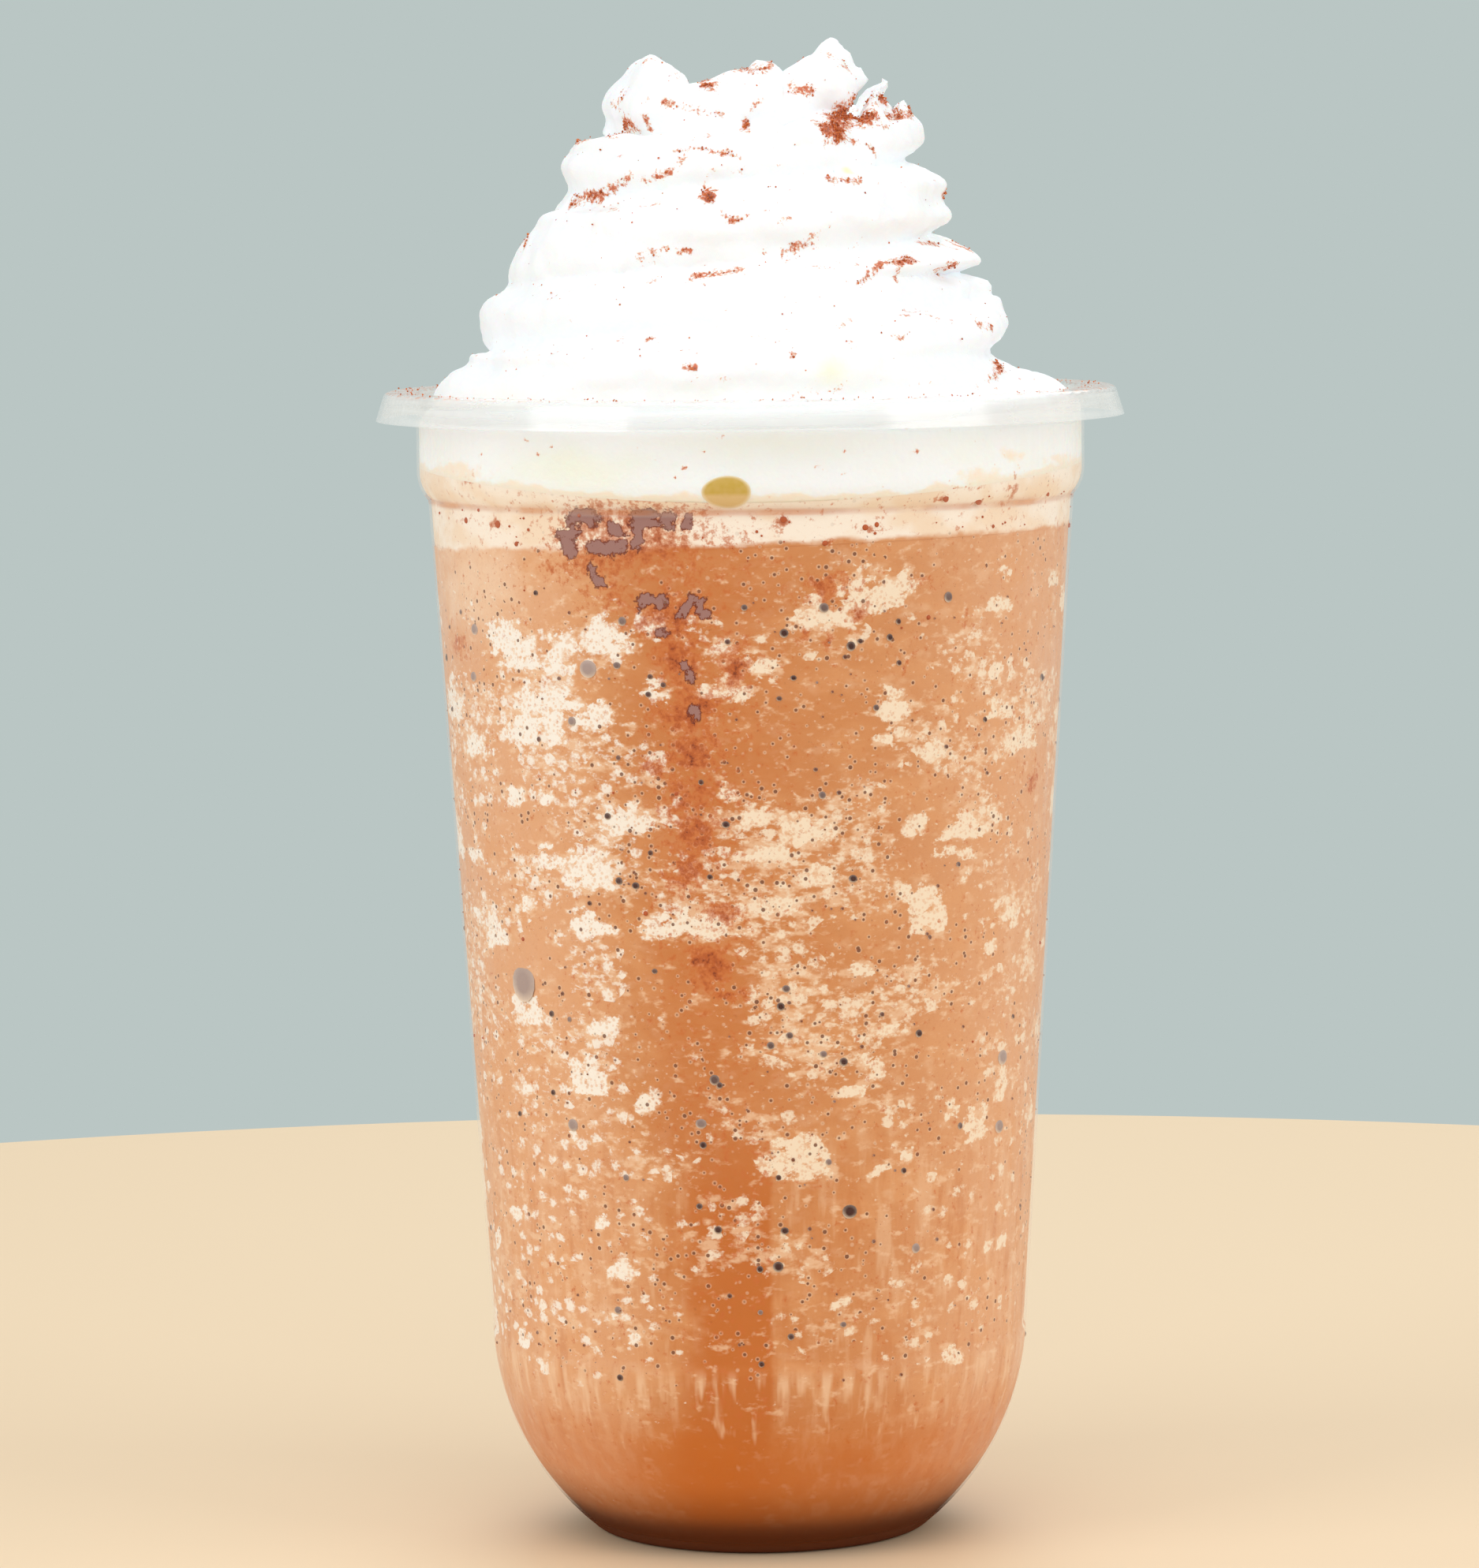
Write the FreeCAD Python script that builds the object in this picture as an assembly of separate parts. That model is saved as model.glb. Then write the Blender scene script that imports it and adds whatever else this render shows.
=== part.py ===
import FreeCAD, Part
import math
import os

# A blended coffee drink in a round-bottomed clear plastic cup, with a layer of foam and a
# piped swirl of whipped cream. Millimetres, +Z up, origin on the table under the cup's axis.
# The front is towards -Y, and angles go counter-clockwise from +X, seen from above.

# Cup
rim_diameter = 95.0        # across the lower edge of the rim's skirt
cup_height = 146.0
wall = 0.6
flange_width = 5.1         # from the neck's outside to the skirt's lower edge
skirt_height = 3.6
skirt_flare = 0.9          # the skirt's lower edge stands out past its top by this
rim_round = 0.9            # outer edge of the rim's top
lip_round = 0.45           # inner edge of the rim's top
root_round = 0.8           # where the neck meets the underside of the flange
shoulder_depth = 13.7      # from the top of the rim down to the crease under the bead
bead_height = 3.5          # height of the rounded bead above the crease
bead_step = 1.4            # the bead stands out past the body by this
taper_angle = 3.63         # slope of the body's side, degrees
foot_diameter = 41.8       # where the round bottom would meet the table
foot_round = 2.5
foot_ring_width = 3.6      # flat ring that the cup stands on
recess_depth = 1.2         # hollow under the base, inside the ring

# Contents
fill_gap = 0.1             # clearance between the contents and the wall, and between layers
drink_below_crease = 4.9   # level of the drink under the crease, on the axis
level_tilt_x = 1.5         # the drink's level rises this many degrees towards +X
level_tilt_y = -0.9        # and this many towards +Y
foam_over_crease = 2.7     # mean height of the foam's top over the crease, at the wall
foam_wave = 1.5            # the foam's top rises and falls by this, twice round

# Whipped cream: one strand from a star-shaped nozzle, wound up round a cone
strand_radius = 6.2
strand_thinning = 0.14     # radius lost in each turn of the coil
strand_swell = 0.12        # the strand swells and thins by this share
swell_turns = 2.0          # turns of the coil from one swelling to the next
star_angle = 40.0          # from one groove of the strand to the next, degrees
groove_depth = 0.8
groove_twist = 90.0        # degrees that the grooves wind round the strand in one turn
coil_lead = 8.8            # the coil climbs this much in one turn
coil_tilt = 0.9            # and stands this much higher at +X, lower at -X
coil_over_rim = 2.7        # height of the strand's middle over the rim at turn 0
turns_above_cup = 4.0      # the strand climbs for this many turns from there
start_drop = 3.2           # inside the cup the first turn shows this far below its middle
start_over_foam = 0.5      # lowest edge of the first turn over the foam's highest point
strand_press = 0.9         # inside the cup the strand is flattened by this
mound_gap = 1.3            # from the cup's inside to the mound's foot
mound_slope = 0.49         # radius lost for each millimetre of height
foot_flare = 0.35          # extra slope where the mound spreads out over the rim
foot_flare_height = 7.0
waver = 0.8                # the strand wavers in and out by this
waver_turns = 2.6
waver_start = 1.6
sway = 1.8                 # the mound bends this far to -X, then to +X
sway_height = 34.0         # height of the first of these bends
tail_turns = 0.62          # the last coil runs on this far without climbing
tail_sag = 1.8             # and dips by this on the way
tail_radius = 8.5          # middle of its end, from the axis
peak_turns = 0.24          # over this last stretch the strand thins to a peak and drops again
peak_lift = 6.6
peak_tip_radius = 0.8
highest_seat = 0.95        # the pulled-up end leaves the coil below at this share of its radius
over_top_angle = 125.0     # the last turn shows this far over its top, degrees
crater_depth = 3.6         # middle of the top under the last turn's top

# Facets of the foam and the cream
columns = 64
section_points = 12        # facets across the side of the strand that shows

# Sizes that follow from the ones above
taper = math.radians(taper_angle)
rim_radius = rim_diameter / 2
neck_radius = rim_radius - flange_width
crease_radius = neck_radius - bead_step
crease_height = cup_height - shoulder_depth
bead_round = (bead_height ** 2 + bead_step ** 2) / (2 * bead_step)
bead_centre = (neck_radius - bead_round, crease_height + bead_height)
inside_floor = recess_depth + wall
foam_highest = crease_height + foam_over_crease + foam_wave
strand_start = foam_highest + start_over_foam + start_drop + coil_tilt
turns_in_cup = (cup_height + coil_over_rim - strand_start) / coil_lead
last_turn = turns_above_cup + tail_turns


def bowl_centre_and_radius():
    """Height of the centre, and radius, of the round bottom: it touches the tapered body
    all round and cuts the table at the foot's diameter."""
    foot = foot_diameter / 2
    at_table = (crease_radius - crease_height * math.tan(taper)) * math.cos(taper)
    lean = math.sin(taper)
    a = 1 - lean ** 2
    root = math.sqrt((at_table * lean) ** 2 - a * (foot ** 2 - at_table ** 2))
    centre = (at_table * lean + root) / a
    return centre, at_table + lean * centre


bowl_centre, bowl_radius = bowl_centre_and_radius()


def body_radius(z, inset):
    """Radius of the tapered body at height z, inset from its outside."""
    return crease_radius - (crease_height - z) * math.tan(taper) - inset / math.cos(taper)


def inner_crease(inset):
    """Where the bead and the body meet, on a surface that lies inset from the outside."""
    centre_r, centre_z = bead_centre
    slope = math.tan(taper)
    start = body_radius(0, inset) - centre_r
    a = 1 + slope ** 2
    b = 2 * (start * slope - centre_z)
    c = start ** 2 + centre_z ** 2 - (bead_round - inset) ** 2
    z = (-b - math.sqrt(b ** 2 - 4 * a * c)) / (2 * a)
    return body_radius(z, inset), z


def room_radius(z, inset):
    """Radius of the room inside the cup above the round bottom, at height z."""
    crease_z = inner_crease(inset)[1]
    centre_r, centre_z = bead_centre
    if z <= crease_z:
        return body_radius(z, inset)
    if z < centre_z:
        return centre_r + math.sqrt((bead_round - inset) ** 2 - (z - centre_z) ** 2)
    return neck_radius - inset


def at(r, z):
    return FreeCAD.Vector(r, 0, z)


def line(start, end):
    return Part.LineSegment(start, end).toShape()


def arc(centre, radius, start, end):
    """Arc in the plane of the profile, from one angle to another, in radians."""
    angles = (start, (start + end) / 2, end)
    points = [at(centre[0] + radius * math.cos(t), centre[1] + radius * math.sin(t)) for t in angles]
    return Part.Arc(*points).toShape()


def turned(edges):
    """Solid of revolution about Z from edges given in order round a closed profile."""
    face = Part.Face(Part.Wire(edges))
    return face.revolve(FreeCAD.Vector(0, 0, 0), FreeCAD.Vector(0, 0, 1), 360)


def chain(pieces):
    """Joins arcs, given as edges, and corners, given as points, into a closed run of edges."""
    edges = []
    last = None
    first = None
    for piece in pieces:
        is_arc = isinstance(piece, Part.Shape)
        start = piece.firstVertex(True).Point if is_arc else piece
        end = piece.lastVertex(True).Point if is_arc else piece
        if last is not None and last.distanceToPoint(start) > 1e-6:
            edges.append(line(last, start))
        if is_arc:
            edges.append(piece)
        first = start if first is None else first
        last = end
    edges.append(line(last, first))
    return edges


def make_cup():
    """Thin-walled cup: ring foot, round bottom, tapered body, bead, neck and skirted rim."""
    ring_r = math.sqrt((bowl_radius - foot_round) ** 2 - (bowl_centre - foot_round) ** 2)
    foot_angle = math.atan2(foot_round - bowl_centre, ring_r)
    recess_r = ring_r - foot_ring_width
    bead_angle = math.atan2(-bead_height, crease_radius - bead_centre[0])
    crease_r, crease_z = inner_crease(wall)
    inner_bead_angle = math.atan2(crease_z - bead_centre[1], crease_r - bead_centre[0])
    skirt_top = rim_radius - skirt_flare
    skirt_foot = cup_height - skirt_height
    lean = math.atan2(skirt_flare, skirt_height)
    inner_neck = neck_radius - wall
    inner_bowl = bowl_radius - wall
    floor_angle = math.asin((inside_floor - bowl_centre) / inner_bowl)
    right = math.pi / 2
    outside = [
        at(0, recess_depth),
        at(recess_r - recess_depth, recess_depth),
        at(recess_r, 0),
        arc((ring_r, foot_round), foot_round, -right, foot_angle),
        arc((0, bowl_centre), bowl_radius, foot_angle, -taper),
        arc(bead_centre, bead_round, bead_angle, 0),
        arc((neck_radius + root_round, cup_height - wall - root_round), root_round, 2 * right, right),
        at(skirt_top - wall, cup_height - wall),
        at(rim_radius - wall, skirt_foot),
        at(rim_radius, skirt_foot),
        arc((skirt_top - rim_round, cup_height - rim_round), rim_round, lean, right),
    ]
    inside = [
        arc((inner_neck + lip_round, cup_height - lip_round), lip_round, right, 2 * right),
        arc(bead_centre, bead_round - wall, 0, inner_bead_angle),
        arc((0, bowl_centre), inner_bowl, -taper, floor_angle),
        at(0, inside_floor),
    ]
    return turned(chain(outside + inside))


def level_height(x, y):
    """Height of the drink's tilted surface."""
    rise_x = math.tan(math.radians(level_tilt_x)) * x
    rise_y = math.tan(math.radians(level_tilt_y)) * y
    return crease_height - drink_below_crease + rise_x + rise_y


def make_drink():
    """The drink: fills the cup up to its tilted surface."""
    inset = wall + fill_gap
    floor = inside_floor + fill_gap
    radius = bowl_radius - inset
    floor_angle = math.asin((floor - bowl_centre) / radius)
    top = crease_height
    full = turned(chain([
        at(0, floor),
        arc((0, bowl_centre), radius, floor_angle, -taper),
        at(body_radius(top, inset), top),
        at(0, top),
    ]))
    half = rim_diameter
    corners = [(-half, -half), (half, -half), (half, half), (-half, half)]
    surface = [FreeCAD.Vector(x, y, level_height(x, y)) for x, y in corners]
    sheet = Part.Face(Part.makePolygon(surface + surface[:1]))
    above = sheet.extrude(FreeCAD.Vector(0, 0, cup_height))
    return full.cut(above)


def foam_edge(angle):
    """Height of the foam's top at the wall: low in front and behind, high at the sides."""
    front = angle - 1.5 * math.pi
    return crease_height + foam_over_crease - foam_wave * math.cos(2 * front)


def foam_top(radius, angle):
    """Height of the foam's top: its wave dies out towards the axis."""
    middle = crease_height + foam_over_crease
    share = radius / (neck_radius - wall)
    return middle + (foam_edge(angle) - middle) * share ** 2


def round_angles():
    return [2 * math.pi * i / columns for i in range(columns + 1)]


def ring_of(radius, angle, z):
    return FreeCAD.Vector(radius * math.cos(angle), radius * math.sin(angle), z)


def fan(middle, edge):
    """Facets from one point to each stretch of an edge."""
    return [(middle, start, end) for start, end in zip(edge, edge[1:])]


def band(lower, upper):
    """Facets between two edges that run counter-clockwise, one over the other."""
    facets = []
    for i in range(len(lower) - 1):
        facets.append((lower[i], lower[i + 1], upper[i + 1]))
        facets.append((lower[i], upper[i + 1], upper[i]))
    return facets


def bands(edges):
    return [facet for lower, upper in zip(edges, edges[1:]) for facet in band(lower, upper)]


def faceted(facets):
    """Solid from triangles that close round it."""
    faces = [Part.Face(Part.makePolygon([a, b, c, a])) for a, b, c in facets]
    solid = Part.Solid(Part.Shell(faces))
    if solid.Volume < 0:
        solid.reverse()
    return solid


def inner_rings(height, shares, inset, lift):
    """Rings inside the cup at shares of the wall's radius, on a surface of given height."""
    rings = []
    for share in shares:
        ring = []
        for angle in round_angles():
            edge = height(neck_radius - wall, angle)
            radius = share * room_radius(edge + lift, inset)
            ring.append(ring_of(radius, angle, height(radius, angle) + lift))
        rings.append(ring)
    return rings


def on_drink(radius, angle):
    """Point just above the drink's surface."""
    point = ring_of(radius, angle, 0)
    point.z = level_height(point.x, point.y) + fill_gap
    return point


def make_foam():
    """Foam between the drink and the cream, out to the wall."""
    inset = wall + fill_gap
    crease_r, crease_z = inner_crease(inset)
    flat_ring = []
    edge_ring = []
    crease_ring = []
    bead_ring = []
    for angle in round_angles():
        lowest = on_drink(crease_r, angle)
        radius = body_radius(lowest.z, inset)
        flat_ring.append(on_drink(radius / 2, angle))
        edge_ring.append(on_drink(radius, angle))
        crease_ring.append(ring_of(crease_r, angle, crease_z))
        bead_z = (crease_z + foam_edge(angle)) / 2
        bead_ring.append(ring_of(room_radius(bead_z, inset), angle, bead_z))
    tops = inner_rings(foam_top, (1.0, 0.5), inset, 0)
    rings = [flat_ring, edge_ring, crease_ring, bead_ring] + tops
    bottom = FreeCAD.Vector(0, 0, level_height(0, 0) + fill_gap)
    top = FreeCAD.Vector(0, 0, foam_top(0, 0))
    return faceted(fan(bottom, rings[0][::-1]) + bands(rings) + fan(top, rings[-1]))


def mound_radius(z):
    """Radius of the mound that the coils' outside follows. Inside the cup it is pressed in."""
    up = z - cup_height
    mouth = neck_radius - wall
    if up < 0:
        return mouth - mound_gap + (mound_gap + strand_press) * min(1, -up / strand_radius)
    return mouth - mound_gap - mound_slope * up - foot_flare * min(up, foot_flare_height)


def turn_angle(turn):
    return math.pi + 2 * math.pi * turn


def strand_circle(turn):
    """Section of the strand: its middle's distance from the axis and height, and its radius."""
    climbed = cup_height + coil_over_rim + coil_lead * min(turn, turns_above_cup)
    tail = max(0, turn - turns_above_cup) / tail_turns
    size = strand_radius - strand_thinning * turn
    size *= 1 + strand_swell * math.sin(2 * math.pi * turn / swell_turns)
    radius = mound_radius(climbed) - size
    if turn > 0:
        radius += waver * math.sin(2 * math.pi * (turn - waver_start) / waver_turns) * min(1, 2 * turn)
    radius += (tail_radius - radius) * tail
    z = climbed + coil_tilt * math.cos(turn_angle(turn)) - tail_sag * math.sin(math.pi * tail)
    ending = max(0, 1 + (turn - last_turn) / peak_turns)
    z += peak_lift * (1 - abs(2 * ending - 1))
    size += (peak_tip_radius - size) * min(1, 2 * ending)
    return radius, z, size


def crease(turn):
    """Where the strand meets the coil above it: distance from the axis and height."""
    r, z, size = strand_circle(turn)
    above_r, above_z, above_size = strand_circle(turn + 1)
    gap = math.hypot(above_r - r, above_z - z)
    towards = ((above_r - r) / gap, (above_z - z) / gap)
    along = min((size ** 2 - above_size ** 2 + gap ** 2) / (2 * gap), highest_seat * size)
    out = math.sqrt(size ** 2 - along ** 2)
    return r + along * towards[0] + out * towards[1], z + along * towards[1] - out * towards[0]


def strand_section(turn, has_coil_below, has_coil_above):
    """Points across the side of the strand that shows, from below upwards."""
    r, z, size = strand_circle(turn)
    if has_coil_below:
        low = crease(turn - 1)
    else:
        low = (r + size, z - start_drop)
    if has_coil_above:
        high = crease(turn)
    else:
        over = math.radians(over_top_angle)
        high = (r + size * math.cos(over), z + size * math.sin(over))
    start = math.atan2(low[1] - z, low[0] - r)
    end = math.atan2(high[1] - z, high[0] - r)
    grooves = math.radians(groove_twist) * turn
    points = [low]
    for i in range(1, section_points):
        share = i / section_points
        angle = start + (end - start) * share
        groove = 1 - abs(math.cos((angle + grooves) * math.pi / math.radians(star_angle)))
        radius = size - groove_depth * min(1, size / strand_radius) * groove * math.sin(math.pi * share)
        points.append((r + radius * math.cos(angle), z + radius * math.sin(angle)))
    points.append(high)
    return [on_mound(point, turn_angle(turn)) for point in points]


def on_mound(point, angle):
    """Point of the strand's section, held in by the cup below the rim, swayed above it."""
    r, z = point
    if z < cup_height:
        return ring_of(min(r, room_radius(z, wall + fill_gap)), angle, z)
    bend = -sway * math.sin(math.pi * (z - cup_height) / sway_height)
    return ring_of(r, angle, z) + FreeCAD.Vector(bend, 0, 0)


def make_cream():
    """Whipped cream: a strand wound up like a screw's thread, each coil seated on the last."""
    inset = wall + fill_gap
    count = round((last_turn + turns_in_cup) * columns)
    turns = [last_turn - (count - i) / columns for i in range(count + 1)]
    sections = []
    for i, turn in enumerate(turns):
        sections.append(strand_section(turn, i >= columns, i <= count - columns))
    edges = [[section[i] for section in sections] for i in range(section_points + 1)]
    first_coil = edges[0][:columns + 1]
    last_coil = edges[-1][-columns - 1:]
    wall_ring = []
    middle_ring = []
    for turn in turns[:columns + 1]:
        angle = turn_angle(turn)
        z = foam_edge(angle) + fill_gap
        radius = room_radius(z, inset)
        wall_ring.append(ring_of(radius, angle, z))
        middle_ring.append(ring_of(radius / 2, angle, foam_top(radius / 2, angle) + fill_gap))
    wall_ring[-1] = wall_ring[0]
    middle_ring[-1] = middle_ring[0]
    bottom = FreeCAD.Vector(0, 0, foam_top(0, 0) + fill_gap)
    crown = sections[-columns // 2][-1].z
    top = FreeCAD.Vector(0, 0, crown - crater_depth)
    facets = fan(bottom, middle_ring[::-1]) + band(middle_ring, wall_ring)
    facets += band(wall_ring, first_coil) + fan(wall_ring[0], sections[0])
    facets += bands(edges)
    facets += fan(top, last_coil) + fan(top, sections[-1][::-1])
    return faceted(facets)


makers = {
    "cup": make_cup,
    "mocha_drink": make_drink,
    "foam_layer": make_foam,
    "whipped_cream": make_cream,
}

os.makedirs("parts", exist_ok=True)
for node, make in makers.items():
    shape = make()
    shape.exportStep(f"parts/{node}.step")
    box = shape.BoundBox
    print(f"{node}: {shape.Volume / 1000:.1f} cm3, valid {shape.isValid()}, {len(shape.Faces)} faces, "
          f"z {box.ZMin:.2f} to {box.ZMax:.2f}, x {box.XMin:.2f} to {box.XMax:.2f}")
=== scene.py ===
import math
import random

import bmesh
import bpy
import numpy as np
from mathutils import Matrix, Vector, noise


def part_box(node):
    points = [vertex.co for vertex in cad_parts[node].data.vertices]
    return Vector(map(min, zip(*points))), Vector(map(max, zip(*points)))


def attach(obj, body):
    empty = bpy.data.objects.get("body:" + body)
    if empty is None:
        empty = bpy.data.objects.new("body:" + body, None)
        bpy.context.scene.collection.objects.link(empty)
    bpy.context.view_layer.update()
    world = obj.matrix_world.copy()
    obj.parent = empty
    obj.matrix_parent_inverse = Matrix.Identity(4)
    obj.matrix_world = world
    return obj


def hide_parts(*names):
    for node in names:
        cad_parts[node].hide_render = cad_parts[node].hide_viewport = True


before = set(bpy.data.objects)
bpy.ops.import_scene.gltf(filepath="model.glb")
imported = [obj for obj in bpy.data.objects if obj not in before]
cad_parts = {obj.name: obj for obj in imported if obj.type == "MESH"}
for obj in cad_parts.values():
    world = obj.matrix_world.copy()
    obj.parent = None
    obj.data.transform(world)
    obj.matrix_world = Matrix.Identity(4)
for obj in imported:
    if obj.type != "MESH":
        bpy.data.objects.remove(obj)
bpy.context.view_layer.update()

# Mocha frappe: blended coffee drink, foam and a piped swirl in a clear plastic cup.
# Sizes in the dictionaries are millimetres and degrees unless a note says otherwise.
# The front is towards -Y; a bearing of 0 is the front and grows towards +X.

mm = 0.001
laidHeight = 10.0               # rows of a mesh are laid out over this height before they are fitted
ringRadii = (0, 10, 20, 30)     # rings on the flat faces of what fills the cup


# small helpers for meshes
def meshOf(name, mesh):
    data = bpy.data.meshes.new(name)
    mesh.to_mesh(data)
    mesh.free()
    return data


def linked(name, data):
    holder = bpy.data.objects.new(name, data)
    bpy.context.scene.collection.objects.link(holder)
    return holder


def finishPiece(name, mesh, material, node=None, smooth=True):
    # turns a bmesh into an object that rides on the cup's body
    return placePiece(name, meshOf(name, mesh), material, node, smooth)


def placePiece(name, data, material, node=None, smooth=True):
    piece = linked(name, data)
    data.materials.clear()
    data.materials.append(material)
    data.polygons.foreach_set("use_smooth", [smooth] * len(data.polygons))
    if smooth:
        data.set_sharp_from_angle(angle=math.radians(65))
    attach(piece, "root")
    if node:
        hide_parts(node)
    data.calc_loop_triangles()
    print(f"{name}: {len(data.loop_triangles)} triangles")
    return piece


def addSpun(mesh, profile, columns):
    # profile of (radius, height) from the axis round to the axis, turned about Z
    verts = [mesh.verts.new((r * mm, 0, z * mm)) for r, z in profile]
    edges = [mesh.edges.new(pair) for pair in zip(verts, verts[1:])]
    bmesh.ops.spin(mesh, geom=verts + edges, cent=(0, 0, 0), axis=(0, 0, 1),
                   angle=2 * math.pi, steps=columns, use_merge=True)


def closeUp(mesh):
    bmesh.ops.remove_doubles(mesh, verts=mesh.verts, dist=1e-7)
    bmesh.ops.recalc_face_normals(mesh, faces=mesh.faces)


def spunMesh(profile, columns):
    mesh = bmesh.new()
    addSpun(mesh, profile, columns)
    closeUp(mesh)
    return mesh


def vectorsOf(data, key):
    flat = np.empty(len(data.vertices) * 3)
    data.vertices.foreach_get(key, flat)
    return flat.reshape(-1, 3)


def readVerts(data):
    return vectorsOf(data, "co") / mm


def normalsOf(data):
    return vectorsOf(data, "normal")


def writeVerts(data, points):
    data.vertices.foreach_set("co", (points * mm).ravel())
    data.update()


def writeField(data, name, *fields):
    # three fields of the surface, kept as one colour attribute
    colours = np.stack(fields + (np.ones(len(data.vertices)),), axis=1)
    layer = data.attributes.new(name, "FLOAT_COLOR", "POINT")
    layer.data.foreach_set("color", colours.ravel())


def heightSteps(low, high, step):
    count = max(1, round((high - low) / step))
    return [low + (high - low) * i / count for i in range(count + 1)]


def templateOf(name, build, **sizes):
    # one small closed shape, kept as a mesh to be copied many times
    mesh = bmesh.new()
    build(mesh, **sizes)
    data = meshOf(name, mesh)
    return data, readVerts(data) * mm


def appendCopy(mesh, template, points):
    writeVerts(template, points)
    mesh.from_mesh(template)


def bearings(points):
    return np.degrees(np.arctan2(points[:, 0], -points[:, 1]))


def ease(value, low, high):
    share = np.clip((value - low) / (high - low), 0, 1)
    return share * share * (3 - 2 * share)


def grainField(points, size, shift=0.0, octaves=2):
    # smooth noise over millimetre points, about -1 to 1
    scaled = points / size + shift
    return np.array([noise.fractal(p, 1.0, 2.0, octaves) for p in scaled])


# small helpers for materials: each adds its node to the material in work
work = {}


def tone(red, green, blue):
    # display colour, 0 to 255, as the shader's linear one
    def linear(part):
        part /= 255
        return part / 12.92 if part <= 0.04045 else ((part + 0.055) / 1.055) ** 2.4
    return (linear(red), linear(green), linear(blue), 1.0)


def startNodes(owner):
    owner.use_nodes = True
    work["tree"] = owner.node_tree
    owner.node_tree.nodes.clear()
    return owner


def newMaterial(name):
    return startNodes(bpy.data.materials.new(name))


def added(kind, **settings):
    node = work["tree"].nodes.new("ShaderNode" + kind)
    for key, value in settings.items():
        setattr(node, key, value)
    return node


def put(socket, value):
    # another socket is linked, a display colour is made linear, anything else is written
    if isinstance(value, bpy.types.NodeSocket):
        work["tree"].links.new(value, socket)
    elif socket.type == "RGBA" and len(value) == 3:
        socket.default_value = tone(*value)
    else:
        socket.default_value = value


def feed(node, *values, **named):
    for socket, value in zip(node.inputs, values):
        put(socket, value)
    for name, value in named.items():
        put(node.inputs[name.replace("_", " ")], value)
    return node


def calc(operation, *values):
    return feed(added("Math", operation=operation), *values).outputs[0]


def times(first, second, plus=None):
    return calc("MULTIPLY", first, second) if plus is None else calc("MULTIPLY_ADD", first, second, plus)


def stepped(value, low, high, start=0.0, end=1.0):
    node = added("MapRange", interpolation_type="SMOOTHSTEP")
    return feed(node, value, low, high, start, end).outputs[0]


def mixed(share, first, second):
    node = added("Mix", data_type="RGBA")
    for place, value in zip((0, 6, 7), (share, first, second)):
        put(node.inputs[place], value)
    return node.outputs[2]


def coated(colour, value, *coats):
    # each coat lies over the colour where the value passes from low to high, up to its most
    for low, high, most, tint in coats:
        colour = mixed(stepped(value, low, high, 0, most), colour, tint)
    return colour


def objectPoint():
    return added("TexCoord").outputs["Object"]


def stretched(vector, *scale):
    return feed(added("Mapping"), Vector=vector, Scale=scale).outputs[0]


def grain(vector, size, detail=2.0, roughness=0.5):
    # noise whose lumps are about size millimetres
    node = added("TexNoise")
    return feed(node, Vector=vector, Scale=1 / (size * mm), Detail=detail, Roughness=roughness).outputs[0]


def speckle(vector, size, detail, roughness):
    # the same, about -0.5 to 0.5
    return calc("SUBTRACT", grain(vector, size, detail, roughness), 0.5)


def parts(value, kind="XYZ"):
    return feed(added("Separate" + kind), value).outputs


def cells(vector, size):
    # scattered points about size millimetres apart: distance in millimetres, a colour for each
    node = feed(added("TexVoronoi"), Vector=vector, Scale=1 / (size * mm))
    return times(node.outputs["Distance"], size), node.outputs["Color"]


def painted(name):
    # colour that the mesh carries itself
    return added("Attribute", attribute_name=name).outputs["Color"]


def marksOf(name):
    return parts(painted(name), "Color")


def bumped(height, distance, strength):
    return feed(added("Bump"), Height=height, Distance=distance * mm, Strength=strength).outputs[0]


def principled(colour, roughness, **others):
    return feed(added("BsdfPrincipled"), Base_Color=colour, Roughness=roughness, **others).outputs[0]


def blended(share, first, second):
    return feed(added("MixShader"), share, first, second).outputs[0]


def close(surface, kind="Material"):
    feed(added("Output" + kind), Surface=surface)


# camera, light, floor
studio = {
    "cameraPlace": (-0.00185, -0.860, 0.1757),   # metres
    "cameraPitch": 5.33,
    "cameraRoll": 0.62,
    "lens": 155.24,
    "floorRadius": 0.37,                         # metres
    "floorColour": (238, 214, 178),
    "backdropColour": (186, 198, 196),
    "worldStrength": 0.62,
    "lamps": (                                   # place in metres, size in metres, watts
        ((-0.85, -0.55, 0.55), 0.6, 3.6),
        ((0.90, -0.45, 0.50), 0.6, 3.2),
        ((0.05, -0.60, 1.00), 0.7, 2.0),
        ((0.10, 0.80, 0.80), 0.7, 2.6),
    ),
}


def addCamera():
    pitch = math.radians(studio["cameraPitch"])
    roll = math.radians(studio["cameraRoll"])
    forward = Vector((0, math.cos(pitch), -math.sin(pitch)))
    side = Vector((1, 0, 0))
    up = side.cross(forward)
    right = side * math.cos(roll) - up * math.sin(roll)
    above = up * math.cos(roll) + side * math.sin(roll)
    turned = Matrix((right, above, -forward)).transposed().to_4x4()
    lens = bpy.data.cameras.new("studioCamera")
    lens.lens = studio["lens"]
    camera = linked("studioCamera", lens)
    camera.matrix_world = Matrix.Translation(studio["cameraPlace"]) @ turned
    bpy.context.scene.camera = camera


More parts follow.
